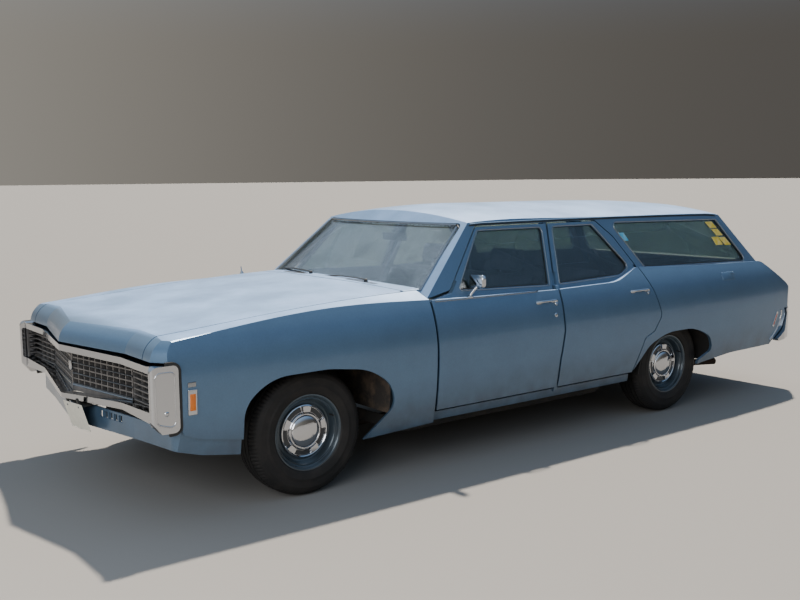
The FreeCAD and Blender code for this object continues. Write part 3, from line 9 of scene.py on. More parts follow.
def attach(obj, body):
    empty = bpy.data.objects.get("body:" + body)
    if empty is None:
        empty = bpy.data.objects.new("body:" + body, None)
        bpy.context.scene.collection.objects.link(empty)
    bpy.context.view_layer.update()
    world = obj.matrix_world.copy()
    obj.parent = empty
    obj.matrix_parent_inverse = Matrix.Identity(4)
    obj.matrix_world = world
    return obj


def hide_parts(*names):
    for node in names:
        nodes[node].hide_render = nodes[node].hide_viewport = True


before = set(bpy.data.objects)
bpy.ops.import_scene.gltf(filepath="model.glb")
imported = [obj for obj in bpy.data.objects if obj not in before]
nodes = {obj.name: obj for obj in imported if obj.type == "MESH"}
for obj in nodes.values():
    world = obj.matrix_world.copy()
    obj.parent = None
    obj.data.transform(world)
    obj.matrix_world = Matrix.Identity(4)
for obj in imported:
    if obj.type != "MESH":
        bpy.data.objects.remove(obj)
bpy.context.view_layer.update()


# The viewpoint: an observer off the car's left front corner, eyes at 1.69 m. The lens and the aim
# come from the car's known length, width and wheelbase in the picture.
EYE = Vector((5.220, -4.452, 1.687))
YAW, PITCH, ROLL = math.radians(52.59), math.radians(7.12), math.radians(-0.51)
SENSOR_MM, LENS_MM = 36, 44.0055
ahead = Vector((-math.sin(YAW) * math.cos(PITCH), math.cos(YAW) * math.cos(PITCH), -math.sin(PITCH)))
level = Vector((math.cos(YAW), math.sin(YAW), 0))
right = level * math.cos(ROLL) + level.cross(ahead) * math.sin(ROLL)
camera = bpy.data.cameras.new("viewpoint")
camera.sensor_width = SENSOR_MM
camera.lens = LENS_MM
viewpoint = bpy.data.objects.new("viewpoint", camera)
bpy.context.scene.collection.objects.link(viewpoint)
viewpoint.matrix_world = Matrix.Translation(EYE) @ Matrix((right, right.cross(ahead),
                                                           -ahead)).transposed().to_4x4()
bpy.context.scene.camera = viewpoint


# Surroundings in clear weather: concrete underfoot, a pale wall ahead and a dark fence behind the
# car, and a blue sky. The concrete is matt, so it throws soft light on the lower panels.
def linear(hex_colour):
    channels = [int(hex_colour[i:i + 2], 16) / 255 for i in (1, 3, 5)]
    return [c / 12.92 if c <= 0.04045 else ((c + 0.055) / 1.055) ** 2.4 for c in channels] + [1.0]


def node(tree, kind, settings=None, links=None):
    item = tree.nodes.new(kind)
    for key, value in (settings or {}).items():
        if isinstance(key, int) or key in item.inputs:
            item.inputs[key].default_value = value
        else:
            setattr(item, key, value)
    for key, source in (links or {}).items():
        tree.links.new(source, item.inputs[key])
    return item


def new_material(name):
    material = bpy.data.materials.new(name)
    material.use_nodes = True
    material.node_tree.nodes.clear()
    return material, material.node_tree


def finished(tree, settings, links):
    """Last step of a material: the surface's shader and the output."""
    shader = node(tree, "ShaderNodeBsdfPrincipled", settings, links)
    node(tree, "ShaderNodeOutputMaterial", links={"Surface": shader.outputs[0]})


GROUND_REACH = 400
floor_mesh = bpy.data.meshes.new("floor")
floor_mesh.from_pydata([(x * GROUND_REACH, y * GROUND_REACH, 0) for x,
                        y in ((-1, -1), (1, -1), (1, 1), (-1, 1))],
                       [], [(0, 1, 2, 3)])
floor = bpy.data.objects.new("floor", floor_mesh)
bpy.context.scene.collection.objects.link(floor)
concrete, tree = new_material("matt_concrete")
finished(tree, {"Base Color": linear("#7b7976"), "Roughness": 0.9}, {})
floor_mesh.materials.append(concrete)

world = bpy.data.worlds.new("sky")
bpy.context.scene.world = world
world.use_nodes = True
tree = world.node_tree
tree.nodes.clear()
heading = node(tree, "ShaderNodeTexCoord")
way = node(tree, "ShaderNodeSeparateXYZ", links={0: heading.outputs["Generated"]})
# the walls end at 7 degrees above the horizon, and the sky is clear above 30 degrees
rise = node(tree, "ShaderNodeMapRange", {1: 0.12, 2: 0.5, 3: 0.0, 4: 1.0, "interpolation_type": "SMOOTHSTEP"},
            {0: way.outputs[2]})
backwards = node(tree, "ShaderNodeMapRange", {1: -0.4, 2: 0.95, 3: 0.0, 4: 1.0,
                                              "interpolation_type": "SMOOTHSTEP"},
                 {0: way.outputs[1]})
walls = node(tree, "ShaderNodeMixRGB", {"Color1": linear("#b3aea4"), "Color2": linear("#55524e")},
             {0: backwards.outputs[0]})
overhead = node(tree, "ShaderNodeMixRGB", {"Color1": linear("#c3d8ee"), "Color2": linear("#86abd6")},
                {0: backwards.outputs[0]})
sky = node(tree, "ShaderNodeMixRGB", {}, {0: rise.outputs[0], "Color1": walls.outputs[0],
                                          "Color2": overhead.outputs[0]})
air = node(tree, "ShaderNodeBackground", {"Strength": 0.95}, {"Color": sky.outputs[0]})
node(tree, "ShaderNodeOutputWorld", links={"Surface": air.outputs[0]})


# Light: a high sun behind the car's right whitens the hood and the roof and leaves the near side in
# shade. A broad soft panel stands for the bright wall that lights the front fender and the bumper.
def new_light(name, kind, place, ahead, energy):
    light = bpy.data.lights.new(name, kind)
    light.energy = energy
    holder = bpy.data.objects.new(name, light)
    bpy.context.scene.collection.objects.link(holder)
    holder.location = place
    holder.rotation_euler = Vector(ahead).to_track_quat("-Z", "Y").to_euler()
    return light


sun = new_light("sun", "SUN", (-3, 4, 8), (0.33, -0.40, -0.86), 10.0)
sun.angle = math.radians(2.0)
sun.color = linear("#fff3e2")[:3]
fill = new_light("fill", "AREA", (3.6, -6.4, 2.6), (-2.6, 4.2, -1.9), 230)
fill.shape = "RECTANGLE"
fill.size, fill.size_y = 4, 3


# Body panels: pressed steel under fifty-year-old metallic enamel. What faces up is paler, mottled and
# duller: the sun has bleached and chalked it, and a painted sky sheen lightens it further; painted shade
# darkens the panels towards the ground. Faces towards the cabin are trimmed: pale vinyl headlining, dark vinyl
# door cards.
NOSE = -2.765
# upward shares where the paling sets in: sun fading together with a painted sky sheen
STEEP_PALING, ROOF_PALING = 0.82, 0.35


def weathered_enamel(name, side_colour, top_colour, lining=None, inward="none", paled_from=STEEP_PALING):
    """Enamel that pales where its upward share passes paled_from, by sun fading and a painted sky sheen;
    lining covers faces turned inward.
    """
    material, tree = new_material(name)
    place = node(tree, "ShaderNodeTexCoord")
    facing = node(tree, "ShaderNodeSeparateXYZ", links={0: place.outputs["Normal"]})
    spot = node(tree, "ShaderNodeSeparateXYZ", links={0: place.outputs["Object"]})
    up = node(tree, "ShaderNodeMapRange",
              {1: paled_from, 2: 0.995, 3: 0.0, 4: 1.0, "interpolation_type": "SMOOTHSTEP"},
              {0: facing.outputs[2]})
    # chalking comes in patches of about 310 mm, with fine speckle of about 8 mm
    patches = node(tree, "ShaderNodeTexNoise", {"Scale": 1000 / 312.5, "Detail": 5.0, "Roughness": 0.62},
                   {"Vector": place.outputs["Object"]})
    speckle = node(tree, "ShaderNodeTexNoise", {"Scale": 1000 / 8, "Detail": 2.0},
                   {"Vector": place.outputs["Object"]})
    patch_level = node(tree, "ShaderNodeMapRange", {1: 0.34, 2: 0.68, 3: 0.62, 4: 1.0},
                       {0: patches.outputs[0]})
    # the steep nose gets neither the fading nor the painted sheen; both set in over 200 mm behind it
    behind_nose = node(tree, "ShaderNodeMapRange", {1: NOSE + 0.04, 2: NOSE + 0.24, 3: 0.05, 4: 1.0},
                       {0: spot.outputs[1]})
    reached = node(tree, "ShaderNodeMath", {"operation": "MULTIPLY"},
                   {0: up.outputs[0], 1: behind_nose.outputs[0]})
    # paling of upward faces in chalky patches: partly sun fading, partly a painted sky sheen
    fade_and_sheen = node(tree, "ShaderNodeMath", {"operation": "MULTIPLY"},
                  {0: reached.outputs[0], 1: patch_level.outputs[0]})
    side_mottle = node(tree, "ShaderNodeMixRGB",
                       {"Color1": linear(side_colour[0]), "Color2": linear(side_colour[1])},
                       {0: patches.outputs[0]})
    colour = node(tree, "ShaderNodeMixRGB", {"Color2": linear(top_colour)},
                  {0: fade_and_sheen.outputs[0], "Color1": side_mottle.outputs[0]})
    grain = node(tree, "ShaderNodeMixRGB", {"blend_type": "OVERLAY", 0: 0.10},
                 {"Color1": colour.outputs[0], "Color2": speckle.outputs[0]})
    # painted shade: darker below 0.58 m, deeper towards the ground, in clouds of about 110 mm
    low_shade_fall = node(tree, "ShaderNodeMapRange", {1: 0.58, 2: 0.28, 3: 0.0, 4: 1.1}, {0: spot.outputs[2]})
    low_shade_cloud = node(tree, "ShaderNodeTexNoise", {"Scale": 1000 / 111, "Detail": 6.0},
                      {"Vector": place.outputs["Object"]})
    low_shade = node(tree, "ShaderNodeMath", {"operation": "MULTIPLY"},
                {0: low_shade_fall.outputs[0], 1: low_shade_cloud.outputs[0]})
    low_shaded = node(tree, "ShaderNodeMixRGB", {"Color2": linear("#2b2f33")},
                 {0: low_shade.outputs[0], "Color1": grain.outputs[0]})
    roughness = node(tree, "ShaderNodeMapRange", {1: 0.0, 2: 1.0, 3: 0.30, 4: 0.46}, {0: fade_and_sheen.outputs[0]})
    metal = node(tree, "ShaderNodeMapRange", {1: 0.0, 2: 1.0, 3: 0.45, 4: 0.15}, {0: fade_and_sheen.outputs[0]})
    # faint waves of about 70 mm, as the press and the years leave them
    ripple = node(tree, "ShaderNodeTexNoise", {"Scale": 1000 / 71, "Detail": 1.0},
                  {"Vector": place.outputs["Object"]})
    bump = node(tree, "ShaderNodeBump", {"Strength": 0.05, "Distance": 0.004}, {"Height": ripple.outputs[0]})
    last_colour, last_metal, last_rough = low_shaded.outputs[0], metal.outputs[0], roughness.outputs[0]
    if inward != "none":
        if inward == "down":
            turned_in = node(tree, "ShaderNodeMath", {"operation": "LESS_THAN", 1: -0.15},
                             {0: facing.outputs[2]})
        else:
            product = node(tree, "ShaderNodeMath", {"operation": "MULTIPLY"},
                           {0: facing.outputs[0], 1: spot.outputs[0]})
            turned_in = node(tree, "ShaderNodeMath", {"operation": "LESS_THAN", 1: -0.45},
                             {0: product.outputs[0]})
        lined = node(tree, "ShaderNodeMixRGB", {"Color2": linear(lining)},
                     {0: turned_in.outputs[0], "Color1": last_colour})
        bare = node(tree, "ShaderNodeMath", {"operation": "SUBTRACT", 0: 1.0}, {1: turned_in.outputs[0]})
        less_metal = node(tree, "ShaderNodeMath", {"operation": "MULTIPLY"},
                          {0: last_metal, 1: bare.outputs[0]})
        more_rough = node(tree, "ShaderNodeMath", {"operation": "MULTIPLY_ADD", 1: 0.25},
                          {0: turned_in.outputs[0], 2: last_rough})
        last_colour, last_metal, last_rough = lined.outputs[0], less_metal.outputs[0], more_rough.outputs[0]
    finished(tree, {"Coat Weight": 0.35, "Coat Roughness": 0.10, "IOR": 1.5},
             {"Base Color": last_colour, "Metallic": last_metal, "Roughness": last_rough,
              "Normal": bump.outputs[0]})
    return material


def finish_nodes(names, material):
    for name in names:
        nodes[name].data.materials.clear()
        nodes[name].data.materials.append(material)


BLUE = ("#56728d", "#4a627a")
# the paler top colour: sun-faded enamel brightened by a painted sky reflection
FADE_AND_SHEEN_TOP = "#8cadd8"
enamel = weathered_enamel("faded_metallic_enamel", BLUE, FADE_AND_SHEEN_TOP)
enamel_over_headlining = weathered_enamel("enamel_over_headlining", BLUE, FADE_AND_SHEEN_TOP, "#8d8f8c", "down",
                                          ROOF_PALING)
enamel_over_cards = weathered_enamel("enamel_over_door_cards", BLUE, FADE_AND_SHEEN_TOP, "#242c34", "in")
finish_nodes(("rocker_panels", "hood", "front_fender_left", "front_fender_right", "front_valance", "cowl"),
             enamel)
finish_nodes(("quarter_panel_left", "quarter_panel_right", "tailgate", "center_pillars", "front_door_left",
              "front_door_right", "rear_door_left", "rear_door_right"), enamel_over_cards)
finish_nodes(("roof",), enamel_over_headlining)


# Bumpers: heavy pressed steel under chromium plate. The plate mirrors its surroundings sharply,
# and a haze of fine pits dulls it in places.
def plated(name, colour, low, high, pit_mm, pit_depth):
    """Bright metal whose roughness wanders between low and high, with pits of a size."""
    material, tree = new_material(name)
    place = node(tree, "ShaderNodeTexCoord")
    haze = node(tree, "ShaderNodeTexNoise", {"Scale": 1000 / 91, "Detail": 6.0, "Roughness": 0.7},
                {"Vector": place.outputs["Object"]})
    roughness = node(tree, "ShaderNodeMapRange", {1: 0.35, 2: 0.75, 3: low, 4: high}, {0: haze.outputs[0]})
    pits = node(tree, "ShaderNodeTexNoise", {"Scale": 1000 / pit_mm, "Detail": 2.0},
                {"Vector": place.outputs["Object"]})
    bump = node(tree, "ShaderNodeBump", {"Strength": 0.12, "Distance": pit_depth}, {"Height": pits.outputs[0]})
    finished(tree, {"Base Color": linear(colour), "Metallic": 1.0},
             {"Roughness": roughness.outputs[0], "Normal": bump.outputs[0]})
    return material


chrome = plated("chromium_plate", "#bcbec2", 0.05, 0.17, 3.85, 0.0004)
finish_nodes(("front_bumper", "rear_bumper"), chrome)


# Tyres: black-walled bias tyres with a rounded shoulder. Four grooves run round the tread and the
# shoulders are cut into blocks; the sidewalls carry plain raised rings and a film of road dust.
def make(name, shapes, material, body="root", replaces=(), angle=35):
    """One piece of the car from several shapes, smooth up to an angle, riding on its body."""
    verts, faces = [], []
    for shape_verts, shape_faces in shapes:
        start = len(verts)
        verts += [tuple(v) for v in shape_verts]
        faces += [tuple(start + i for i in face) for face in shape_faces]
    mesh = bpy.data.meshes.new(name)
    mesh.from_pydata(verts, [], faces)
    mesh.validate()
    work = bmesh.new()
    work.from_mesh(mesh)
    bmesh.ops.recalc_face_normals(work, faces=work.faces)
    work.to_mesh(mesh)
    work.free()
    mesh.shade_smooth()
    mesh.set_sharp_from_angle(angle=math.radians(angle))
    piece = bpy.data.objects.new(name, mesh)
    bpy.context.scene.collection.objects.link(piece)
    mesh.materials.append(material)
    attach(piece, body)
    if replaces:
        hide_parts(*replaces)
    return piece


def turned(profile, centre, axis, count=48, closed=False):
    """Shape turned about axis through centre; profile is rows of (along, radius)."""
    axis = Vector(axis).normalized()
    across = axis.orthogonal().normalized()
    third = axis.cross(across)
    verts, faces = [], []
    rows = len(profile)
    for step in range(count):
        angle = 2 * math.pi * step / count
        spoke = across * math.cos(angle) + third * math.sin(angle)
        for along, radius in profile:
            verts.append(Vector(centre) + axis * along + spoke * radius)
    last = rows if closed else rows - 1
    for step in range(count):
        near, far = step * rows, (step + 1) % count * rows
        for row in range(last):
            after = (row + 1) % rows
            faces.append((near + row, near + after, far + after, far + row))
    if not closed:
        for row in (0, rows - 1):
            if profile[row][1] > 1e-5:
                ring = [step * rows + row for step in range(count)]
                faces.append(ring if row else ring[::-1])
    return verts, faces


SIDES = (("left", 1), ("right", -1))
FRONT_AXLE, REAR_AXLE = -1.7565, 1.2665
FRONT_TRACK, REAR_TRACK = 0.794, 0.800
AXLE_HEIGHT = 0.346
TYRE_WALL = [(0.086, 0.1935), (0.0905, 0.199), (0.0925, 0.206), (0.0965, 0.2115), (0.0985, 0.2125),
             (0.1010, 0.2200),
             (0.1045, 0.2320), (0.1066, 0.2460), (0.1070, 0.2480), (0.1074, 0.2485), (0.1074, 0.2570),
             (0.1068, 0.2580), (0.1068, 0.2700), (0.1060, 0.2840), (0.1045, 0.2945), (0.1046, 0.2960),
             (0.1030, 0.2990), (0.1000, 0.3080), (0.0955, 0.3180)]
SHOULDER = [(0.0905, 0.3250), (0.0850, 0.3300), (0.0760, 0.3365), (0.0660, 0.3410), (0.0545, 0.3440)]
TREAD = [(0.0535, 0.3370), (0.0475, 0.3370), (0.0465, 0.3448), (0.0225, 0.3456), (0.0215, 0.3375),
         (0.0155, 0.3375), (0.0145, 0.3458)]
BEAD_SEAT = 0.1935
BLOCKS, STEPS_PER_BLOCK, CUT_DEPTH = 96, 3, 0.0045


def tyre_shape(centre, side):
    half_rows = TYRE_WALL + SHOULDER + TREAD
    rows = half_rows + [(-a, r) for a, r in reversed(half_rows)] + [(-0.076, BEAD_SEAT), (0.076, BEAD_SEAT)]
    count = BLOCKS * STEPS_PER_BLOCK
    verts, faces = turned(rows, centre, (side, 0, 0), count, closed=True)
    outer_rows = range(len(TYRE_WALL), len(TYRE_WALL) + len(SHOULDER))
    inner_rows = [2 * len(half_rows) - 1 - row for row in outer_rows]
    for step in range(0, count, STEPS_PER_BLOCK):
        for row in list(outer_rows) + inner_rows:
            vert = verts[step * len(rows) + row]
            spoke = Vector((0, vert.y - centre[1], vert.z - centre[2]))
            vert -= spoke.normalized() * CUT_DEPTH
    return verts, faces


# natural rubber gone grey-brown: matt, clouded by dust, with a grit of 2.4 mm
tyre_rubber, tree = new_material("tyre_rubber")
place = node(tree, "ShaderNodeTexCoord")
film = node(tree, "ShaderNodeTexNoise", {"Scale": 1000 / 143, "Detail": 7.0, "Roughness": 0.65},
            {"Vector": place.outputs["Object"]})
share = node(tree, "ShaderNodeMapRange", {1: 0.42, 2: 0.75, 3: 0.0, 4: 0.55}, {0: film.outputs[0]})
tint = node(tree, "ShaderNodeMixRGB", {"Color1": linear("#161515"), "Color2": linear("#332e2a")},
            {0: share.outputs[0]})
grit = node(tree, "ShaderNodeTexNoise", {"Scale": 1000 / 2.4, "Detail": 2.0},
            {"Vector": place.outputs["Object"]})
bump = node(tree, "ShaderNodeBump", {"Strength": 0.25, "Distance": 0.0006}, {"Height": grit.outputs[0]})
finished(tree, {"Roughness": 0.68, "Specular IOR Level": 0.35},
         {"Base Color": tint.outputs[0], "Normal": bump.outputs[0]})

WHEELS = [("%s_%s" % (end, side_name), "%s_wheel_%s" % (end, side_name), (side * track, axle_y, AXLE_HEIGHT),
           side)
          for end, axle_y, track in (("front", FRONT_AXLE, FRONT_TRACK), ("rear", REAR_AXLE, REAR_TRACK))
          for side_name, side in SIDES]
for corner, body, centre, side in WHEELS:
    make("road_tyre_" + corner, [tyre_shape(centre, side)], tyre_rubber, body,
         ["tyre_" + corner])


# Wheels: pressed steel in the body's enamel, with a rolled flange and a step inside it; the enamel is
# darker than the body's as painted shade. The disc inside carries a chromed cap with a shallow dome and five
# raised bars round it.
RIM_ROWS = [(0.0885, 0.2010), (0.0890, 0.2060), (0.0910, 0.2070), (0.0930, 0.2062), (0.0930, 0.2020),
            (0.0915, 0.1975), (0.0870, 0.1935), (0.0780, 0.1905), (0.0740, 0.1890), (0.0715, 0.1850),
            (0.0718, 0.1815), (0.0735, 0.1790), (0.0715, 0.1768), (0.0620, 0.1735), (0.0440, 0.1700),
            (0.0340, 0.1660), (0.0310, 0.1600), (0.0325, 0.1500), (0.0380, 0.1380), (0.0380, 0.0400),
            (0.0300, 0.0400), (0.0260, 0.1380), (0.0230, 0.1600), (0.0180, 0.1720), (-0.0100, 0.1730),
            (-0.0400, 0.1820), (-0.0850, 0.1900), (-0.0910, 0.1985), (-0.0930, 0.2040), (-0.0915, 0.2070),
            (-0.0890, 0.2060), (-0.0880, 0.1925), (0.0860, 0.1925)]
CAP_STEP, CAP_SEAT = 0.0345, 0.144
CAP_BARS, CAP_COUNT = 5, 180
CAP_DOME = [(0.0, 0.0420), (0.030, 0.0405), (0.060, 0.0360), (0.078, 0.0305), (0.0845, 0.0262),
            (0.0875, 0.0215),
            (0.0895, 0.0232), (0.0945, 0.0228), (0.0985, 0.0195), (0.1010, 0.0130)]
CAP_EDGE = [(0.1345, 0.0165), (0.1385, 0.0200), (0.1430, 0.0175), (0.1460, 0.0110), (0.1465, 0.0020)]
BAR_TOP, RECESS_FLOOR = 0.0225, 0.0100
RECESS_RADII = (0.1055, 0.1185, 0.1315)
# a darker copy of the body's enamel: painted shade
wheel_enamel_shaded = weathered_enamel("wheel_enamel_shaded", ("#495863", "#3c4953"), "#5b6f82")
# near-black floors for the cap's recesses
recess_dark = weathered_enamel("dark_recess_finish", ("#2b2f34", "#24282c"), "#34383c")


def cap_rows(in_bar):
    """Rows of (radius, height) over the disc: dome, rolled edge, ring crossed by bars, outer lip."""
    ring = BAR_TOP if in_bar else RECESS_FLOOR
    return CAP_DOME + [(0.1040, ring), (0.1330, ring - 0.002)] + CAP_EDGE


def round_point(centre, side, out, radius, angle):
    """Point on a ring about a wheel's axle."""
    return Vector((centre[0] + side * out, centre[1] + radius * math.cos(angle),
                   centre[2] + radius * math.sin(angle)))


def cap_shape(centre, side):
    verts, faces = [], []
    period = CAP_COUNT // CAP_BARS
    for step in range(CAP_COUNT):
        angle = 2 * math.pi * step / CAP_COUNT
        for radius, height in cap_rows(step % period < period // 3):
            verts.append(round_point(centre, side, CAP_STEP + height, max(radius, 0.0001), angle))
    rows = len(cap_rows(True))
    back = len(verts)
    for step in range(CAP_COUNT):
        verts.append(round_point(centre, side, CAP_STEP, CAP_SEAT, 2 * math.pi * step / CAP_COUNT))
    for step in range(CAP_COUNT):
        after = (step + 1) % CAP_COUNT
        for row in range(rows - 1):
            faces.append((step * rows + row, step * rows + row + 1, after * rows + row + 1,
                          after * rows + row))
        faces.append((step * rows + rows - 1, after * rows + rows - 1, back + after, back + step))
    faces.append(tuple(step * rows for step in range(CAP_COUNT)))
    faces.append(tuple(back + step for step in range(CAP_COUNT)))
    return verts, faces


def recess_shapes(centre, side):
    """Dark floors between the cap's bars."""
    shapes = []
    height = CAP_STEP + RECESS_FLOOR + 0.0006
    for index in range(CAP_BARS):
        verts, faces = [], []
        for step in range(16):
            angle = math.radians(index * 360 / CAP_BARS + 26 + 44 * step / 15)
            for radius in RECESS_RADII:
                sink = 0.002 * (radius - 0.1040) / 0.029
                verts.append(round_point(centre, side, height - sink, radius, angle))
        for step in range(15):
            for row in range(2):
                a = step * 3 + row
                faces.append((a, a + 1, a + 4, a + 3))
        shapes.append((verts, faces))
    return shapes


for corner, body, centre, side in WHEELS:
    make("rim_" + corner, [turned(RIM_ROWS, centre, (side, 0, 0), 96, closed=True)], wheel_enamel_shaded, body,
         ["wheel_" + corner])
    make("hubcap_" + corner, [cap_shape(centre, side)], chrome, body, angle=28)
    make("hubcap_recesses_" + corner, recess_shapes(centre, side), recess_dark, body)
    valve = Vector(centre) + Vector((side * 0.058, 0.155, 0.070))
    make("valve_" + corner, [turned([(0, 0.0045), (0.024, 0.004), (0.026, 0.0045), (0.034, 0.004)], valve,
                                    (side, 0.1, -0.05), 12)], tyre_rubber, body)


# Front bumper: the plated loop's side plates are each held by a round-headed bolt, edged with a
# black rubber seal against the fender, and stiffened by a pressed bead that follows their outline.
def swept(path, section, normals, closed=False):
    """Strip of constant section (sideways, outwards) along path, whose outward way is normals."""
    verts, faces = [], []
    count, width = len(path), len(section)
    for index, point in enumerate(path):
        before = path[index - 1] if closed or index else path[0]
        after = path[(index + 1) % count] if closed or index < count - 1 else path[-1]
        forward = (Vector(after) - Vector(before)).normalized()
        outward = Vector(normals[index] if isinstance(normals, list) else normals)
        outward = (outward - forward * outward.dot(forward)).normalized()
        sideways = forward.cross(outward)
        for across, out in section:
            verts.append(Vector(point) + sideways * across + outward * out)
    for index in range(count if closed else count - 1):
        near, far = index * width, (index + 1) % count * width
        for row in range(width):
            after = (row + 1) % width
            faces.append((near + row, near + after, far + after, far + row))
    if not closed:
        faces.append(tuple(range(width)))
        faces.append(tuple((count - 1) * width + row for row in reversed(range(width))))
    return verts, faces


def flat_strip(half_width, low, high, taper=0.0):
    """Four-sided section from low to high, narrower by taper on each side at the top."""
    return [(-half_width, low), (half_width, low), (half_width - taper, high), (taper - half_width, high)]


def bead(width, height, sink=0.002):
    """Half-round section, flat side down and sunk a little into what carries it."""
    arc = [(-width / 2 * math.cos(math.pi * step / 6),
            height * math.sin(math.pi * step / 6)) for step in range(7)]
    return [(-width / 2, -sink)] + arc + [(width / 2, -sink)]


def rounded(rows, steps=6):
    """Corner points (a, b, radius) as a closed run of points, corners turned into arcs."""
    points = []
    count = len(rows)
    for index in range(count):
        a0, b0 = rows[index - 1][:2]
        a, b, radius = rows[index]
        a2, b2 = rows[(index + 1) % count][:2]
        here = Vector((a, b))
        back = (Vector((a0, b0)) - here).normalized()
        ahead = (Vector((a2, b2)) - here).normalized()
        if radius <= 0:
            points.append(here)
            continue
        turn = back.angle(ahead)
        reach = radius / math.tan(turn / 2)
        centre = here + (back + ahead).normalized() * (radius / math.sin(turn / 2))
        start = here + back * reach - centre
        end = here + ahead * reach - centre
        for step in range(steps + 1):
            share = step / steps
            points.append(centre + (start * (1 - share) + end * share).normalized() * radius)
    return points


surfaces = {}


def meeting(name, start, way):
    """Point and normal where a ray meets a node's surface."""
    if name not in surfaces:
        mesh = nodes[name].data
        surfaces[name] = BVHTree.FromPolygons([v.co for v in mesh.vertices],
                                              [p.vertices for p in mesh.polygons])
    point, normal = surfaces[name].ray_cast(Vector(start), Vector(way))[:2]
    return point, normal if point is None or normal.dot(Vector(way)) < 0 else -normal


def on_side(name, y, z, side):
    """Point and outward normal where a level ray from the car's side meets a panel."""
    return meeting(name, (side * 1.4, y, z), (-side, 0, 0))


# moulded rubber: near black, matt, with a grain of about 4 mm
black_rubber, tree = new_material("moulded_rubber")
place = node(tree, "ShaderNodeTexCoord")
grain = node(tree, "ShaderNodeTexNoise", {"Scale": 1000 / 4.17, "Detail": 2.0},
             {"Vector": place.outputs["Object"]})
bump = node(tree, "ShaderNodeBump", {"Strength": 0.2, "Distance": 0.0004}, {"Height": grain.outputs[0]})
shade = node(tree, "ShaderNodeMixRGB", {"Color1": linear("#0e0f10"), "Color2": linear("#232424")},
             {0: grain.outputs[0]})
finished(tree, {"Roughness": 0.6}, {"Base Color": shade.outputs[0], "Normal": bump.outputs[0]})

LOOP_TOP = 0.826
PLATE_FRONT, PLATE_REAR, PLATE_LOW = NOSE + 0.084, NOSE + 0.226, 0.503
BOLT_HEAD = [(-0.004, 0.0115), (0.001, 0.0115), (0.003, 0.0095), (0.0045, 0.006), (0.005, 0.0001)]
for side_name, side in SIDES:
    out = Vector((side, 0, 0))
    make("bumper_bolt_" + side_name, [turned(BOLT_HEAD, (side * 1.0035, NOSE + 0.160, 0.600), out, 24)],
         chrome)
    edge = rounded([(PLATE_REAR - 0.06, LOOP_TOP + 0.007, 0), (PLATE_REAR + 0.009, LOOP_TOP + 0.007, 0.038),
                    (PLATE_REAR + 0.009, PLATE_LOW - 0.009, 0.036),
                    (PLATE_REAR - 0.05, PLATE_LOW - 0.009, 0.0)])
    seal = swept([Vector((side * 0.992, p.x, p.y)) for p in edge], flat_strip(0.008, -0.012, 0.004), out)
    make("bumper_seal_" + side_name, [seal], black_rubber)
    outline = rounded([(PLATE_FRONT + 0.024, PLATE_LOW + 0.052, 0.030),
                       (PLATE_REAR - 0.020, PLATE_LOW + 0.022, 0.026),
                       (PLATE_REAR - 0.020, LOOP_TOP - 0.030, 0.026),
                       (PLATE_FRONT + 0.024, LOOP_TOP - 0.030, 0.026)])
    path = [point for point, way in (on_side("front_bumper", p.x, p.y,
                                             side) for p in outline) if point is not None]
    make("bumper_bead_" + side_name, [swept(path, bead(0.007, 0.0028, 0.001), out, closed=True)], chrome)


# Grille: die-cast egg-crate panels in dull argent paint, clouded with soot. Every second level
# carries a brighter anodised bar, and a narrow stainless bead edges the opening; a plain bright bar
# fills the badge's place, and a black screen closes the back.
def block(centre, size, bevel=0.002, turn=None, steps=2):
    """Box with rounded edges."""
    work = bmesh.new()
    bmesh.ops.create_cube(work, size=1)
    bmesh.ops.scale(work, vec=size, verts=work.verts)
    if bevel:
        bmesh.ops.bevel(work, geom=work.edges[:], offset=bevel, segments=steps, affect="EDGES", profile=0.5)
    place = Matrix.Translation(centre) @ (turn.to_4x4() if turn else Matrix.Identity(4))
    bmesh.ops.transform(work, matrix=place, verts=work.verts)
    work.verts.ensure_lookup_table()
    shape = ([v.co.copy() for v in work.verts], [[v.index for v in face.verts] for face in work.faces])
    work.free()
    return shape


def slab(front, back):
    """Closed plate between two rings of the same count."""
    count = len(front)
    edges = [(i, (i + 1) % count, count + (i + 1) % count, count + i) for i in range(count)]
    return front + back, edges + [tuple(range(count)), tuple(range(count, 2 * count))]


argent, tree = new_material("argent_die_casting")
place = node(tree, "ShaderNodeTexCoord")
soot = node(tree, "ShaderNodeTexNoise", {"Scale": 1000 / 38.5, "Detail": 5.0},
            {"Vector": place.outputs["Object"]})
tone = node(tree, "ShaderNodeMixRGB", {"Color1": linear("#4b4a4b"), "Color2": linear("#83807e")},
            {0: soot.outputs[0]})
finished(tree, {"Metallic": 0.6, "Roughness": 0.42}, {"Base Color": tone.outputs[0]})
finish_nodes(("grille",), argent)
dull_alloy = plated("anodised_aluminium", "#6a6b6d", 0.32, 0.5, 3.33, 0.0004)
stainless = plated("polished_stainless", "#94989d", 0.14, 0.28, 3.125, 0.0003)

PROW_HALF = 0.6
GRILLE_FACE = NOSE + 0.066
GRILLE_SLOPE = 0.104 / PROW_HALF
CRATE_LOW, CRATE_HIGH, CRATE_ROWS = 0.604, 0.768, 6
CRATE_MIDDLE = (CRATE_LOW + CRATE_HIGH) / 2
CRATE_PITCH = (CRATE_HIGH - CRATE_LOW + 0.007) / CRATE_ROWS
MIDDLE_BAR, GRILLE_END = 0.012, 0.595


def on_grille(x, z, out=0.0):
    return Vector((x, GRILLE_FACE + abs(x) * GRILLE_SLOPE - out, z))


def grille_beads(heights, section):
    """Beads across both halves of the grille at some heights."""
    shapes = []
    for z in heights:
        for side in (1, -1):
            path = [on_grille(side * (MIDDLE_BAR + 0.579 * step / 4), z) for step in range(5)]
            shapes.append(swept(path, section, Vector((0.17 * side, -1, 0))))
    return shapes


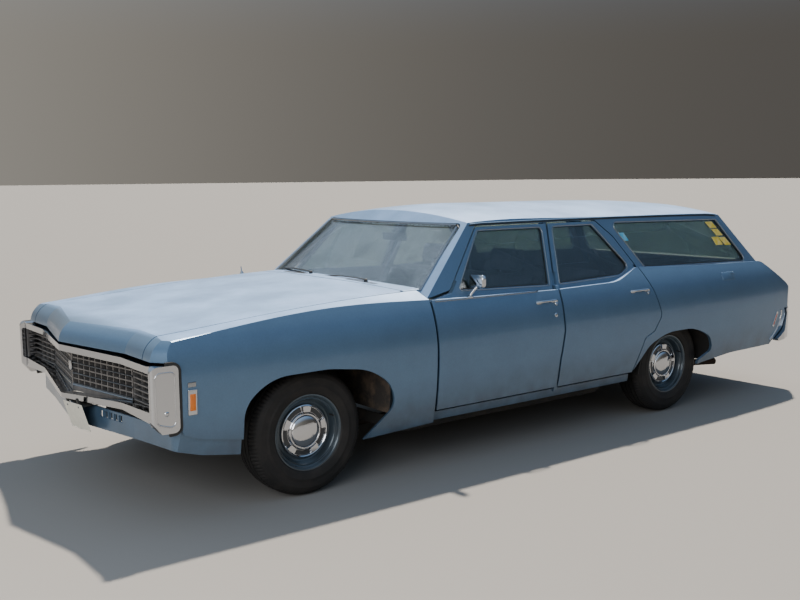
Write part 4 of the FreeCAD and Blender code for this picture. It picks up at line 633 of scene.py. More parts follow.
bar_heights = [CRATE_LOW + row * CRATE_PITCH - 0.0035 for row in (0, 2, 4, 6)]
make("grille_bright_bars", grille_beads(bar_heights, bead(0.009, 0.006, 0.001)), dull_alloy)
make("grille_edge_beads", grille_beads((0.776, 0.594), bead(0.012, 0.009, 0.001)), stainless)
make("grille_badge_bar", [block(on_grille(0.0, 0.700, 0.006), (0.030, 0.014, 0.052), 0.005)], chrome)
screens = []
for x0, x1 in ((-GRILLE_END, -MIDDLE_BAR), (MIDDLE_BAR, GRILLE_END)):
    corners = [on_grille(x, z, -0.034) for x, z in ((x0, CRATE_LOW - 0.03), (x1, CRATE_LOW - 0.03),
                                                    (x1, CRATE_HIGH + 0.02), (x0, CRATE_HIGH + 0.02))]
    screens.append(slab(corners, [p + Vector((0, 0.003, 0)) for p in corners]))
make("grille_screen", screens, black_rubber)


# Headlamps: four sealed beams of pressed glass, each held by a bright ring. The lens is fluted
# upright every 6 mm, and the silvered bowl shows behind it.
lens_glass, tree = new_material("fluted_lamp_glass")
place = node(tree, "ShaderNodeTexCoord")
spot = node(tree, "ShaderNodeSeparateXYZ", links={0: place.outputs["Object"]})
wave = node(tree, "ShaderNodeMath", {"operation": "MULTIPLY", 1: 2 * math.pi / 0.006}, {0: spot.outputs[0]})
flute = node(tree, "ShaderNodeMath", {"operation": "SINE"}, {0: wave.outputs[0]})
bump = node(tree, "ShaderNodeBump", {"Strength": 0.6, "Distance": 0.0012}, {"Height": flute.outputs[0]})
finished(tree, {"Base Color": linear("#eef3f4"), "Roughness": 0.04, "Transmission Weight": 0.9, "IOR": 1.47},
         {"Normal": bump.outputs[0]})
mirror_glass = plated("silvered_glass", "#e2e6e8", 0.01, 0.03, 10, 0.00001)

LAMP_Y, LAMP_Z = NOSE + 0.228, 0.700
LENS_ROWS = [(0.020, 0.0001), (0.0195, 0.020), (0.017, 0.040), (0.013, 0.056), (0.008, 0.0665),
             (0.001, 0.0668),
             (0.001, 0.0640), (0.009, 0.0540), (0.0130, 0.040), (0.0155, 0.020), (0.016, 0.0001)]
RING_ROWS = [(0.001, 0.0718), (0.006, 0.0765), (0.012, 0.0760), (0.0155, 0.0720), (0.0135, 0.0680),
             (0.006, 0.0668),
             (-0.004, 0.0668), (-0.004, 0.0718)]
BOWL_ROWS = [(0.001, 0.0660), (-0.012, 0.0620), (-0.030, 0.0480), (-0.042, 0.0300), (-0.048, 0.0001),
             (-0.052, 0.0001), (-0.046, 0.0350), (-0.032, 0.0530), (-0.012, 0.0700), (0.001, 0.0705)]
FORWARD = (0, -1, 0)
lamp_centres = [(side * x, LAMP_Y, LAMP_Z) for side in (1, -1) for x in (0.700, 0.862)]
make("headlamp_lenses", [turned(LENS_ROWS, centre, FORWARD, 64) for centre in lamp_centres], lens_glass,
     replaces=["headlamps"])
make("headlamp_rings", [turned(RING_ROWS, centre, FORWARD, 64, closed=True) for centre in lamp_centres],
     chrome)
make("headlamp_bowls", [turned(BOWL_ROWS, centre, FORWARD, 48) for centre in lamp_centres], mirror_glass)


# Headlamp covers: closed shutters of die-cast slats, level with the grille's ends, over a black
# backing that hides the lamps.
COVER_FACE = NOSE + 0.166
COVER_X, COVER_WIDTH = 0.768, 0.336
for side_name, side in SIDES:
    slats = [block((side * COVER_X, COVER_FACE + 0.011, CRATE_LOW - 0.0035 + row * CRATE_PITCH),
                   (COVER_WIDTH, 0.022, 0.0075), 0.0012, None, 1) for row in range(CRATE_ROWS + 1)]
    slats += [block((side * COVER_X + x, COVER_FACE + 0.016, CRATE_MIDDLE), (0.004, 0.014, 0.166), 0.0, None,
                    1)
              for x in (-0.084, 0, 0.084)]
    make("headlamp_cover_" + side_name, slats, argent)
    backing = block((side * COVER_X, COVER_FACE + 0.026, CRATE_MIDDLE), (COVER_WIDTH, 0.004, 0.172), 0.001,
                    None, 1)
    make("headlamp_cover_back_" + side_name, [backing], black_rubber)


# Front plate: a blank pressed-aluminium plate in cream paint with a raised rim, tilted forward on
# a black bracket. Under it, black backs in the slots of the valance are painted shade.
plate_paint, tree = new_material("painted_plate")
place = node(tree, "ShaderNodeTexCoord")
wear = node(tree, "ShaderNodeTexNoise", {"Scale": 1000 / 16.67, "Detail": 5.0},
            {"Vector": place.outputs["Object"]})
tone = node(tree, "ShaderNodeMixRGB", {"Color1": linear("#b9b6a8"), "Color2": linear("#d8d5c9")},
            {0: wear.outputs[0]})
finished(tree, {"Roughness": 0.45}, {"Base Color": tone.outputs[0]})

PLATE_X = 0.132
tilt = Matrix.Rotation(math.radians(15), 3, "X") @ Matrix.Rotation(math.radians(-5), 3, "Y")
plate_centre = Vector((PLATE_X, NOSE + 0.034, 0.447))
plate_way = tilt @ Vector(FORWARD)
rim = rounded([(x, z, 0.012) for x, z in ((-0.149, -0.073), (0.149, -0.073), (0.149, 0.073), (-0.149, 0.073))])
rim_path = [plate_centre + tilt @ Vector((p.x, -0.0006, p.y)) for p in rim]
make("front_plate", [block(plate_centre, (0.304, 0.0018, 0.152), 0.0007, tilt, 1),
                     swept(rim_path, bead(0.004, 0.0014, 0.0005), plate_way, closed=True)], plate_paint)
make("front_plate_bolts", [turned([(0, 0.006), (0.002, 0.0055), (0.0035, 0.003), (0.0038, 0.0001)],
                                  plate_centre + tilt @ Vector((x, -0.001, 0.058)), plate_way, 12)
                           for x in (-0.09, 0.09)], stainless)
bracket = [block(plate_centre + tilt @ Vector((x, 0.006, 0.03)), (0.022, 0.010, 0.15), 0.001, tilt, 1)
           for x in (-0.09, 0.09)]
bracket.append(block((PLATE_X, NOSE + 0.055, 0.518), (0.24, 0.05, 0.006), 0.001))
make("front_plate_bracket", bracket, black_rubber)
prow_turn = math.atan2(0.110, PROW_HALF)
# black sheets behind the valance's slots: painted shade
make("valance_slot_shade_backs", [block((side * 0.389, NOSE + 0.168, 0.480), (0.250, 0.004, 0.060), 0.001,
                                  Matrix.Rotation(side * prow_turn, 3, "Z"), 1) for side in (1, -1)],
     black_rubber)


# Glass: tempered panes and a laminated windshield, faintly green, with a thin film of dust. Thin
# bright stainless beads edge each opening in the body, and a black rubber lip seals the glass.
def pane_glass(name, colour, sheen, cover):
    """Tinted glass; sheen adds a second mirroring layer, and cover is how much of it stops light."""
    material, tree = new_material(name)
    place = node(tree, "ShaderNodeTexCoord")
    film = node(tree, "ShaderNodeTexNoise", {"Scale": 1000 / 200, "Detail": 6.0},
                {"Vector": place.outputs["Object"]})
    roughness = node(tree, "ShaderNodeMapRange", {1: 0.4, 2: 0.8, 3: 0.0, 4: 0.03}, {0: film.outputs[0]})
    finished(tree, {"Base Color": linear(colour), "Transmission Weight": 1.0, "IOR": 1.52,
                    "Coat Weight": sheen,
                    "Coat IOR": 2.8, "Coat Roughness": 0.03, "Alpha": cover},
                    {"Roughness": roughness.outputs[0]})
    return material


green_glass = pane_glass("green_tinted_glass", "#6f8b80", 0.0, 0.8)
# the steep laminated pane mirrors the sky with its two layers and their haze
laminated_glass = pane_glass("laminated_glass", "#a9beb6", 1.0, 0.55)
finish_nodes([name for name in nodes if "glass" in name], green_glass)
finish_nodes(("windshield",), laminated_glass)

GLASS_BASE, DRIP = 1.000, 1.405
BASE_HALF, DRIP_HALF = 0.905, 0.750
HOUSE_LEAN = (DRIP_HALF - BASE_HALF) / (DRIP - GLASS_BASE)
DOOR_TOP = DRIP - 0.012


def on_house(y, z, side, out=0.0):
    """Point on the slanted side of the greenhouse."""
    return Vector((side * (BASE_HALF + (z - GLASS_BASE) * HOUSE_LEAN + out), y, z))


def house_way(side):
    return Vector((side, 0, -HOUSE_LEAN)).normalized()


SHIELD_BASE_Y, SHIELD_TOP_Y = -0.958, -0.519
BACK_BASE_Y, BACK_TOP_Y = 2.348, 2.007
DOOR_SPLIT_Y = 0.040
KICK = 1.064
FRONT_WINDOW = [(SHIELD_BASE_Y + 0.250, GLASS_BASE + 0.030, 0.012),
                (SHIELD_TOP_Y + 0.072, DOOR_TOP - 0.033, 0.025),
                (DOOR_SPLIT_Y + 0.060, DOOR_TOP - 0.033, 0.025),
                (DOOR_SPLIT_Y - 0.002, GLASS_BASE + 0.008, 0.012)]
REAR_WINDOW = [(DOOR_SPLIT_Y + 0.100, GLASS_BASE + 0.008, 0.012),
               (DOOR_SPLIT_Y + 0.164, DOOR_TOP - 0.033, 0.025),
               (REAR_AXLE - 0.690, DOOR_TOP - 0.033, 0.030), (REAR_AXLE - 0.430, KICK + 0.012, 0.030),
               (REAR_AXLE - 0.520, GLASS_BASE + 0.026, 0.120)]
QUARTER_WINDOW = [(REAR_AXLE - 0.494, DOOR_TOP - 0.026, 0.025), (BACK_TOP_Y - 0.045, DOOR_TOP - 0.044, 0.030),
                  (BACK_BASE_Y - 0.142, GLASS_BASE + 0.034, 0.025), (REAR_AXLE - 0.255, KICK - 0.004, 0.030)]


def grown(rows, by):
    """Outline rows moved outwards by a distance, along the way from their middle."""
    middle_y = sum(y for y, z, r in rows) / len(rows)
    middle_z = sum(z for y, z, r in rows) / len(rows)
    return [(y + math.copysign(by, y - middle_y), z + math.copysign(by, z - middle_z), r + by) for y, z,
            r in rows]


for side_name, side in SIDES:
    for label, rows, body in (("front_window", FRONT_WINDOW, "front_door_" + side_name),
                              ("rear_window", REAR_WINDOW, "rear_door_" + side_name),
                              ("quarter_window", QUARTER_WINDOW, "root")):
        path = [on_house(p.x, p.y, side, 0.0008) for p in rounded(grown(rows, 0.006))]
        trim = swept(path, bead(0.0065, 0.004, 0.003), house_way(side), closed=True)
        make("%s_bead_%s" % (label, side_name), [trim], stainless, body)
        path = [on_house(p.x, p.y, side, -0.0105) for p in rounded(grown(rows, -0.001))]
        seal = swept(path, flat_strip(0.006, -0.003, 0.004), house_way(side), closed=True)
        make("%s_seal_%s" % (label, side_name), [seal], black_rubber, body)


# Plain paper patches, sun-faded towards cream, stuck on the outside of the left rear side glass.
def paper(name, colour):
    material, tree = new_material(name)
    place = node(tree, "ShaderNodeTexCoord")
    fade = node(tree, "ShaderNodeTexNoise", {"Scale": 1000 / 25, "Detail": 4.0},
                {"Vector": place.outputs["Object"]})
    share = node(tree, "ShaderNodeMapRange", {1: 0.4, 2: 0.7, 3: 0.0, 4: 0.35}, {0: fade.outputs[0]})
    tone = node(tree, "ShaderNodeMixRGB", {"Color1": linear(colour), "Color2": linear("#d9d6c8")},
                {0: share.outputs[0]})
    finished(tree, {"Roughness": 0.7}, {"Base Color": tone.outputs[0]})
    return material


def patch(y, z, width, height, lean):
    corners = [(-width / 2, -height / 2), (width / 2, -height / 2), (width / 2, height / 2),
               (-width / 2, height / 2)]
    outer = [on_house(y + a + b * lean, z + b, 1, -0.0076) for a, b in corners]
    return slab(outer, [p - house_way(1) * 0.0004 for p in outer])


make("yellow_patches", [patch(1.905, 1.315, 0.085, 0.048, -0.9), patch(1.955, 1.258, 0.080, 0.050, -0.9),
                        patch(1.925, 1.195, 0.085, 0.060, -0.5), patch(2.020, 1.190, 0.075, 0.060, -0.9)],
     paper("faded_yellow_paper", "#c9b02a"))
make("blue_patch", [patch(0.865, 1.270, 0.085, 0.055, -0.6)], paper("faded_blue_paper", "#2f9fc9"))


# Drip rails: a folded gutter of body steel along each side of the roof, over a dark joint.
RAIL_ROWS = [(-0.505, 1.400), (-0.420, 1.404), (0.10, 1.4055), (0.80, 1.4045), (1.40, 1.4005), (1.86, 1.3945),
             (1.975, 1.386)]
GUTTER = [(-0.0045, -0.006), (-0.0045, 0.010), (-0.0015, 0.0125), (0.0005, 0.0125), (0.0015, 0.010),
          (0.002, -0.006)]
for side_name, side in SIDES:
    rail = swept([on_house(y, z, side, 0.001) for y, z in RAIL_ROWS], GUTTER, house_way(side))
    make("drip_rail_" + side_name, [rail], enamel)
    joint = swept([on_house(y, z - 0.0065, side) for y, z in RAIL_ROWS], flat_strip(0.003, -0.006, 0.002),
                  house_way(side))
    make("drip_joint_" + side_name, [joint], black_rubber)


# Windshield: a bright stainless surround lies on the glass and the pillars. Inside, a mirror in a
# black moulded case hangs from the header on a bright stem.
def shield_point(share_x, z, out=0.0):
    """Point on the windshield's outer surface at a share of its half width and a height."""
    rise = (z - GLASS_BASE) / (DRIP - GLASS_BASE)
    half_width = BASE_HALF + rise * (DRIP_HALF - BASE_HALF)
    front = SHIELD_BASE_Y + rise * (SHIELD_TOP_Y - SHIELD_BASE_Y)
    bulge = 0.150 + rise * (0.095 - 0.150)
    return Vector((share_x * half_width, front - bulge * (1 - share_x * share_x) - out, z + out * 0.8))


def round_section(radius, count=10):
    return [(radius * math.cos(2 * math.pi * i / count), radius * math.sin(2 * math.pi * i / count))
            for i in range(count)]


top_run = [shield_point(-0.915 + 1.83 * step / 24, 1.398, 0.004) for step in range(25)]
left_run = [shield_point(0.925, 1.385 - (1.385 - 1.035) * step / 10, 0.004) for step in range(11)]
trims = [swept(top_run, bead(0.013, 0.005, 0.004), Vector((0, -0.72, 0.69)))]
for side in (1, -1):
    run = [Vector((side * p.x, p.y, p.z)) for p in left_run]
    trims.append(swept(run, bead(0.015, 0.005, 0.004), Vector((side * 0.45, -0.70, 0.55))))
make("windshield_surround", trims, stainless)
mirror_tilt = Matrix.Rotation(math.radians(8), 3, "X")
make("mirror_inside", [block((0.0, -0.500, 1.300), (0.255, 0.020, 0.056), 0.009, mirror_tilt, 4)],
     black_rubber)
make("mirror_inside_face", [block((0.0, -0.489, 1.3015), (0.240, 0.003, 0.044), 0.0012, mirror_tilt, 2)],
     mirror_glass)
stem = [Vector((0, y, z)) for y, z in ((-0.505, 1.318), (-0.525, 1.345), (-0.560, 1.385), (-0.570, 1.412))]
make("mirror_inside_stem", [swept(stem, round_section(0.006), Vector((1, 0, 0)))], stainless)


# Wipers: pressed steel arms and blades in black, parked along the foot of the windshield.
def from_above(name, x, y):
    """Point and upward normal where a plumb ray meets a panel."""
    return meeting(name, (x, y, 2.5), (0, 0, -1))


wipers = []
for pivot_x, reach in ((0.42, 0.42), (-0.20, 0.46)):
    base = from_above("cowl", pivot_x, -1.040)[0] + Vector((0, 0, 0.006))
    wipers.append(turned([(-0.01, 0.012), (0.008, 0.012), (0.012, 0.008), (0.013, 0.0001)], base,
                         (0, -0.2, 1), 16))
    tip = shield_point((pivot_x - reach) / 0.9, 1.062, 0.012)
    arm = [base + Vector((0, 0, 0.008)), base + (tip - base) * 0.3 + Vector((0, -0.004, 0.012)),
           base + (tip - base) * 0.7 + Vector((0, -0.003, 0.010)), tip]
    wipers.append(swept(arm, flat_strip(0.004, -0.002, 0.002, 0.001), Vector((0, -0.6, 0.8))))
    blade = [shield_point((pivot_x - 0.01 - (reach + 0.02) * step / 10) / 0.9, 1.058 + 0.004 * step / 10,
                          0.009)
             for step in range(11)]
    wipers.append(swept(blade, flat_strip(0.003, -0.007, 0.004, -0.0015), Vector((0, -0.7, 0.7))))
make("wipers", wipers, black_rubber)


# Cowl: the heater's air inlet, a pressed grille of narrow slots each side of the middle; flush black strips
# stand in the slots as painted shade.
slot_shades = []
for side in (1, -1):
    for index in range(22):
        x = side * (0.235 + 0.0135 * index)
        run = [from_above("cowl", x, y + 0.030 * (abs(x) / 0.8) ** 2)[0] for y in (-1.072, -1.034)]
        slot_shades.append(swept(run, flat_strip(0.0028, -0.004, 0.0008), Vector((0, 0, 1))))
make("cowl_vent_slot_shade", slot_shades, black_rubber)


# Hood seam: each fender's inner flange shows as a body-coloured step a little below the joint.
HOOD_SEAM = 0.810
for side_name, side in SIDES:
    path, ways = [], []
    for step in range(33):
        y = -2.545 + 1.470 * step / 32
        inner = from_above("hood", side * (HOOD_SEAM - 0.006), y)
        outer = from_above("front_fender_" + side_name, side * (HOOD_SEAM + 0.014), y)
        if inner[0] is None or outer[0] is None:
            continue
        path.append((inner[0] + outer[0]) / 2 - Vector((0, 0, 0.004)))
        path[-1].x = side * (HOOD_SEAM + 0.004)
        ways.append((inner[1] + outer[1]).normalized())
    make("fender_flange_" + side_name, [swept(path, flat_strip(0.0037, -0.008, 0.0), ways)], enamel)


# Door handles: die-cast chromed grips on two pads with a round push button, and a key lock
# below the front ones. The bright belt moulding is folded stainless along the sill of the glass.
HANDLE_Z = 0.912


def handle(name, y0, y1, body, side):
    shapes, feet = [], []
    middle_y = (y0 + y1) / 2
    for y, foot_length in ((y0 + 0.022, 0.040), (y1 - 0.024, 0.046)):
        point, way = on_side(body, y, HANDLE_Z, side)
        feet.append(point)
        turn = Vector((side, 0, 0)).rotation_difference(way).to_matrix()
        shapes.append(block(point + way * 0.003, (0.010, foot_length, 0.021), 0.0035, turn, 3))
    way = on_side(body, middle_y, HANDLE_Z, side)[1]
    path = []
    for step in range(13):
        share = step / 12
        rise = 0.019 * min(1, 5.5 * share, 5.5 * (1 - share)) ** 0.6
        path.append(on_side(body, y0 + (y1 - y0) * share, HANDLE_Z, side)[0] + way * (0.004 + rise))
    grip_section = [(0.0075 * math.cos(t * math.pi / 5),
                     0.0050 * math.sin(t * math.pi / 5)) for t in range(10)]
    shapes.append(swept(path, grip_section, way))
    shapes.append(turned([(-0.012, 0.0125), (0.012, 0.0125), (0.0145, 0.0105), (0.015, 0.0001)],
                         feet[1] + way * 0.004 + Vector((0, 0.004, -0.020)), way, 24))
    make(name, shapes, chrome, body)


LOCK_ROWS = [(-0.004, 0.0135), (0.003, 0.013), (0.005, 0.010), (0.0055, 0.0045), (0.003, 0.004),
             (0.003, 0.0001)]
for side_name, side in SIDES:
    front_door = "front_door_" + side_name
    handle("front_handle_" + side_name, -0.150, 0.038, front_door, side)
    handle("rear_handle_" + side_name, 0.745, 0.940, "rear_door_" + side_name, side)
    point, way = on_side(front_door, 0.004, 0.828, side)
    make("door_lock_" + side_name, [turned(LOCK_ROWS, point, way, 24)], chrome, front_door)
    run = [on_side(front_door, -0.930 + 0.982 * step / 24, 0.984 - 0.006 * step / 24,
                   side) for step in range(25)]
    make("belt_moulding_" + side_name, [swept([p for p, w in run], bead(0.010, 0.004, 0.002),
                                              [w for p, w in run])],
         stainless, front_door)


# Fuel filler flap in the left quarter panel, with a shallow finger pull along its rear edge.
point, way = on_side("quarter_panel_left", 1.881, 0.942, 1)
turn = Vector((1, 0, 0)).rotation_difference(way).to_matrix()
make("filler_flap", [block(point + way * 0.0005, (0.005, 0.150, 0.062), 0.002, turn, 3),
                     block(point + way * 0.004 + Vector((0, 0.060, 0.018)), (0.006, 0.022, 0.018), 0.0025,
                           turn, 3)],
     enamel)


# Radio mast: its folded-down stub and plated base stand on the right front fender.
point, way = from_above("front_fender_right", -0.860, -1.190)
MAST_ROWS = [(-0.003, 0.019), (0.003, 0.018), (0.010, 0.012), (0.022, 0.009), (0.030, 0.005), (0.060, 0.0035),
             (0.061, 0.0001)]
make("radio_mast", [turned(MAST_ROWS, point, way, 20)], chrome)


# Door mirror: a chromed die-cast head on a curved stem and oval foot, its glass facing aft.
HALF = 1.0135
MIRROR_Y = SHIELD_BASE_Y + 0.335
head = rounded([(HALF - 0.131, 1.039, 0.018), (HALF - 0.003, 1.039, 0.026), (HALF - 0.003, 1.119, 0.026),
                (HALF - 0.131, 1.119, 0.022)], 8)
middle = Vector((HALF - 0.067, 0, 1.079))


def head_ring(depth, share_x, share_z):
    """The head's outline shrunk towards its middle, at a depth behind its front."""
    return [Vector((middle.x + (p.x - middle.x) * share_x, MIRROR_Y + depth,
                    middle.z + (p.y - middle.z) * share_z))
            for p in head]


count = len(head)
head_rows = [(0.000, 0.80), (0.003, 0.92), (0.010, 0.985), (0.020, 1.0), (0.0255, 0.985)]
head_verts, head_faces = [], [tuple(range(count)),
                              tuple((len(head_rows) - 1) * count + i for i in range(count))]
for row, (depth, share) in enumerate(head_rows):
    head_verts += head_ring(depth, share, share)
    if row:
        head_faces += [((row - 1) * count + i, (row - 1) * count + (i + 1) % count,
                        row * count + (i + 1) % count,
                        row * count + i) for i in range(count)]
foot, foot_way = from_above("front_door_left", HALF - 0.082, MIRROR_Y - 0.030)
stem = [foot + foot_way * 0.002, foot + Vector((0.002, 0.006, 0.018)),
        Vector((HALF - 0.072, MIRROR_Y - 0.004, 1.030)),
        Vector((HALF - 0.062, MIRROR_Y + 0.010, 1.050))]
foot_rows = [(-0.004, 0.021), (0.002, 0.021), (0.006, 0.016), (0.010, 0.010), (0.012, 0.0001)]
make("mirror_shell", [(head_verts, head_faces), swept(stem, round_section(0.0085, 14), Vector((0, 1, 0.2))),
                      turned(foot_rows, foot, foot_way, 32)], chrome, "front_door_left",
     ["door_mirror"], 50)
make("mirror_face", [slab(head_ring(0.0262, 0.93, 0.92), head_ring(0.0232, 0.93, 0.92))], mirror_glass,
     "front_door_left")


# Side markers: an amber lens in a bright die-cast frame on each front fender, with a small plain
# plate above it, and a red one behind, in a slim bright surround at the end of the body. The
# acrylic is ribbed every 4 mm and clouded by age; the tail lamps' lenses are the same.
def lens_material(name, colour, deep):
    material, tree = new_material(name)
    place = node(tree, "ShaderNodeTexCoord")
    spot = node(tree, "ShaderNodeSeparateXYZ", links={0: place.outputs["Object"]})
    wave = node(tree, "ShaderNodeMath", {"operation": "MULTIPLY", 1: 2 * math.pi / 0.004},
                {0: spot.outputs[2]})
    rib = node(tree, "ShaderNodeMath", {"operation": "SINE"}, {0: wave.outputs[0]})
    bump = node(tree, "ShaderNodeBump", {"Strength": 0.5, "Distance": 0.0008}, {"Height": rib.outputs[0]})
    cloud = node(tree, "ShaderNodeTexNoise", {"Scale": 1000 / 33.3, "Detail": 3.0},
                 {"Vector": place.outputs["Object"]})
    tone = node(tree, "ShaderNodeMixRGB", {"Color1": linear(deep), "Color2": linear(colour)},
                {0: cloud.outputs[0]})
    finished(tree, {"Roughness": 0.12, "Coat Weight": 0.5},
             {"Base Color": tone.outputs[0], "Normal": bump.outputs[0]})
    return material


amber = lens_material("amber_acrylic", "#e07a14", "#a84c08")
red = lens_material("red_acrylic", "#b81c1c", "#7a0d0d")
finish_nodes(("tail_lamps",), red)
MARKER_Y = -2.4715
for side_name, side in SIDES:
    fender = "front_fender_" + side_name
    point, way = on_side(fender, MARKER_Y, 0.637, side)
    turn = Vector((side, 0, 0)).rotation_difference(way).to_matrix()
    make("side_marker_frame_" + side_name, [block(point + way * 0.002, (0.011, 0.047, 0.126), 0.003, turn,
                                                  3)], chrome)
    make("side_marker_lens_" + side_name, [block(point + way * 0.0065, (0.010, 0.030, 0.082), 0.003, turn,
                                                 3)], amber)
    point, way = on_side(fender, MARKER_Y, 0.722, side)
    make("side_marker_plate_" + side_name, [block(point + way * 0.001, (0.005, 0.042, 0.024), 0.0015, turn,
                                                  2)],
         stainless)
    run = [on_side("quarter_panel_" + side_name, 2.522 - 0.050 * step / 8, 0.618 - 0.112 * step / 8, side)
           for step in range(9)]
    make("rear_marker_frame_" + side_name,
         [swept([p for p, w in run], flat_strip(0.014, -0.003, 0.005, 0.001), [w for p, w in run])], chrome)
    run = run[1:-1]
    make("rear_marker_lens_" + side_name,
         [swept([p for p, w in run], flat_strip(0.0045, 0.0, 0.007, 0.001), [w for p, w in run])], red)


# Rear bumper ends: a bright raised edge curves down each end of the bumper, where it laps the body.
END_ROWS = [(2.585, 0.628), (2.590, 0.590), (2.580, 0.550), (2.562, 0.510), (2.535, 0.470), (2.500, 0.432),
            (2.455, 0.398)]
for side_name, side in SIDES:
    run = []
    for y, z in END_ROWS:
        found = [on_side(name, y, z, side) for name in ("rear_bumper", "quarter_panel_" + side_name)]
        found = [(point, way) for point, way in found if point is not None]
        if found:
            run.append(max(found, key=lambda pair: abs(pair[0].x)))
    make("rear_bumper_edge_" + side_name,
         [swept([p for p, w in run], bead(0.016, 0.006, 0.002), [w for p, w in run])], chrome)


# Seats: full-width benches of vinyl over springs and foam, each with a cushion and a leaning
# back. Sewn channels 75 mm apart run fore and aft between plain bolsters.
X, Y, Z = Vector((1, 0, 0)), Vector((0, 1, 0)), Vector((0, 0, 1))
vinyl, tree = new_material("grained_vinyl")
place = node(tree, "ShaderNodeTexCoord")
cells = node(tree, "ShaderNodeTexVoronoi", {"Scale": 1000 / 2.63}, {"Vector": place.outputs["Object"]})
cloud = node(tree, "ShaderNodeTexNoise", {"Scale": 1000 / 167, "Detail": 4.0},
             {"Vector": place.outputs["Object"]})
tone = node(tree, "ShaderNodeMixRGB", {"Color1": linear("#171c22"), "Color2": linear("#2a323b")},
            {0: cloud.outputs[0]})
bump = node(tree, "ShaderNodeBump", {"Strength": 0.3, "Distance": 0.0006}, {"Height": cells.outputs[0]})
finished(tree, {"Roughness": 0.42}, {"Base Color": tone.outputs[0], "Normal": bump.outputs[0]})
CHANNEL, CHANNEL_DEPTH, PUFF = 0.075, 0.007, 0.005
PAD_COLUMNS, PAD_ROWS = 168, 26


def pad_shape(centre, along, up, out, size, channel, bolster, crown):
    """Closed pad: a face of size (along, up) crowned outwards by crown, sewn in channels."""
    length, height, depth = size
    verts, faces = [], []

    def pad_point(u, v, front):
        off_u, off_v = 2 * abs(u - 0.5), 2 * abs(v - 0.5)
        edge = max(0.0, 1 - off_u ** 10) ** 0.5 * max(0.0, 1 - off_v ** 6) ** 0.5
        x, y = (u - 0.5) * length, (v - 0.5) * height
        puff = crown * (1 - off_v ** 2.2) * (1 - off_u ** 8)
        if abs(x) < length / 2 - bolster and abs(y) < height / 2 - bolster:
            phase = (x / channel) % 1.0
            puff += PUFF - CHANNEL_DEPTH * (1 - abs(math.sin(math.pi * phase)) ** 0.35)
        thick = depth * (0.35 + 0.65 * edge)
        shrink = 1 - 0.03 * (1 - edge)
        rise = thick / 2 + puff if front else -thick / 2
        return centre + along * (x * shrink) + up * (y * shrink) + out * rise

    for front in (True, False):
        for i in range(PAD_COLUMNS + 1):
            for j in range(PAD_ROWS + 1):
                verts.append(pad_point(i / PAD_COLUMNS, j / PAD_ROWS, front))
    row = PAD_ROWS + 1
    layer = row * (PAD_COLUMNS + 1)
    for i in range(PAD_COLUMNS):
        for j in range(PAD_ROWS):
            a = i * row + j
            faces.append((a, a + row, a + row + 1, a + 1))
            faces.append((layer + a, layer + a + 1, layer + a + row + 1, layer + a + row))
    rim = [i * row for i in range(PAD_COLUMNS)] + [PAD_COLUMNS * row + j for j in range(PAD_ROWS)]
    rim += [i * row + PAD_ROWS for i in range(PAD_COLUMNS, 0, -1)] + list(range(PAD_ROWS, 0, -1))
    for index, here in enumerate(rim):
        after = rim[(index + 1) % len(rim)]
        faces.append((here, after, layer + after, layer + here))
    return verts, faces


CUSHION_DEPTH, BACK_DEPTH = 0.150, 0.105
for label, front_y, back_y, bottom, seat_z, top, reach in (("front", -0.400, 0.060, 0.4105, 0.650, 1.045,
                                                            0.690),
                                                           ("rear", 0.480, 0.795, 0.4545, 0.645, 1.030,
                                                            0.615)):
    lean = math.atan2(0.07, top - seat_z)
    up = (Z * math.cos(lean) + Y * math.sin(lean)).normalized()
    out = (-Y * math.cos(lean) + Z * math.sin(lean)).normalized()
    run = back_y - front_y + 0.02
    slope = math.atan2(0.025, run)
    rearward = (Y * math.cos(slope) - Z * math.sin(slope)).normalized()
    over = (Z * math.cos(slope) + Y * math.sin(slope)).normalized()
    centre = Vector((0, (front_y - 0.02 + back_y) / 2 + 0.004, seat_z - 0.024 - CUSHION_DEPTH / 2))
    cushion = pad_shape(centre, X, rearward, over, (2 * reach, run - 0.01, CUSHION_DEPTH), CHANNEL, 0.075,
                        0.018)
    pad = make(label + "_bench_cushion", [cushion], vinyl, replaces=[label + "_seat"],
               angle=60)
    centre = Vector((0, back_y + 0.055, (top + seat_z - 0.075) / 2))
    back = pad_shape(centre, X, up, out, (2 * reach, top - seat_z + 0.075, BACK_DEPTH), CHANNEL, 0.075, 0.014)
    pad = make(label + "_bench_back", [back], vinyl, angle=60)
    base = block((0, (front_y + back_y) / 2 + 0.02, (bottom + seat_z - 0.17) / 2),
                 (2 * reach - 0.06, back_y - front_y - 0.02, seat_z - 0.17 - bottom), 0.01)
    make(label + "_bench_base", [base], black_rubber)


# Head restraints: two padded blocks of the same vinyl on flat chromed posts over the front back;
# sun visors: thin padded boards folded up against the header.
RESTRAINT_LEAN = 0.17
up = (Z * math.cos(RESTRAINT_LEAN) + Y * math.sin(RESTRAINT_LEAN)).normalized()
out = (-Y * math.cos(RESTRAINT_LEAN) + Z * math.sin(RESTRAINT_LEAN)).normalized()
for side_name, side in SIDES:
    centre = Vector((side * 0.370, 0.178, 1.128))
    pad = make("head_restraint_" + side_name,
               [pad_shape(centre, X, up, out, (0.270, 0.150, 0.085), 0.30, 0.030, 0.010)], vinyl,
               angle=60)
    make("restraint_posts_" + side_name, [block(centre - up * 0.095 + X * x, (0.014, 0.006, 0.090), 0.002,
                                                None, 1)
                                          for x in (-0.05, 0.05)], stainless)
make("sun_visors", [block((side * 0.36, -0.462, 1.402), (0.42, 0.130, 0.014), 0.006, mirror_tilt, 3)
                    for side in (1, -1)], vinyl)


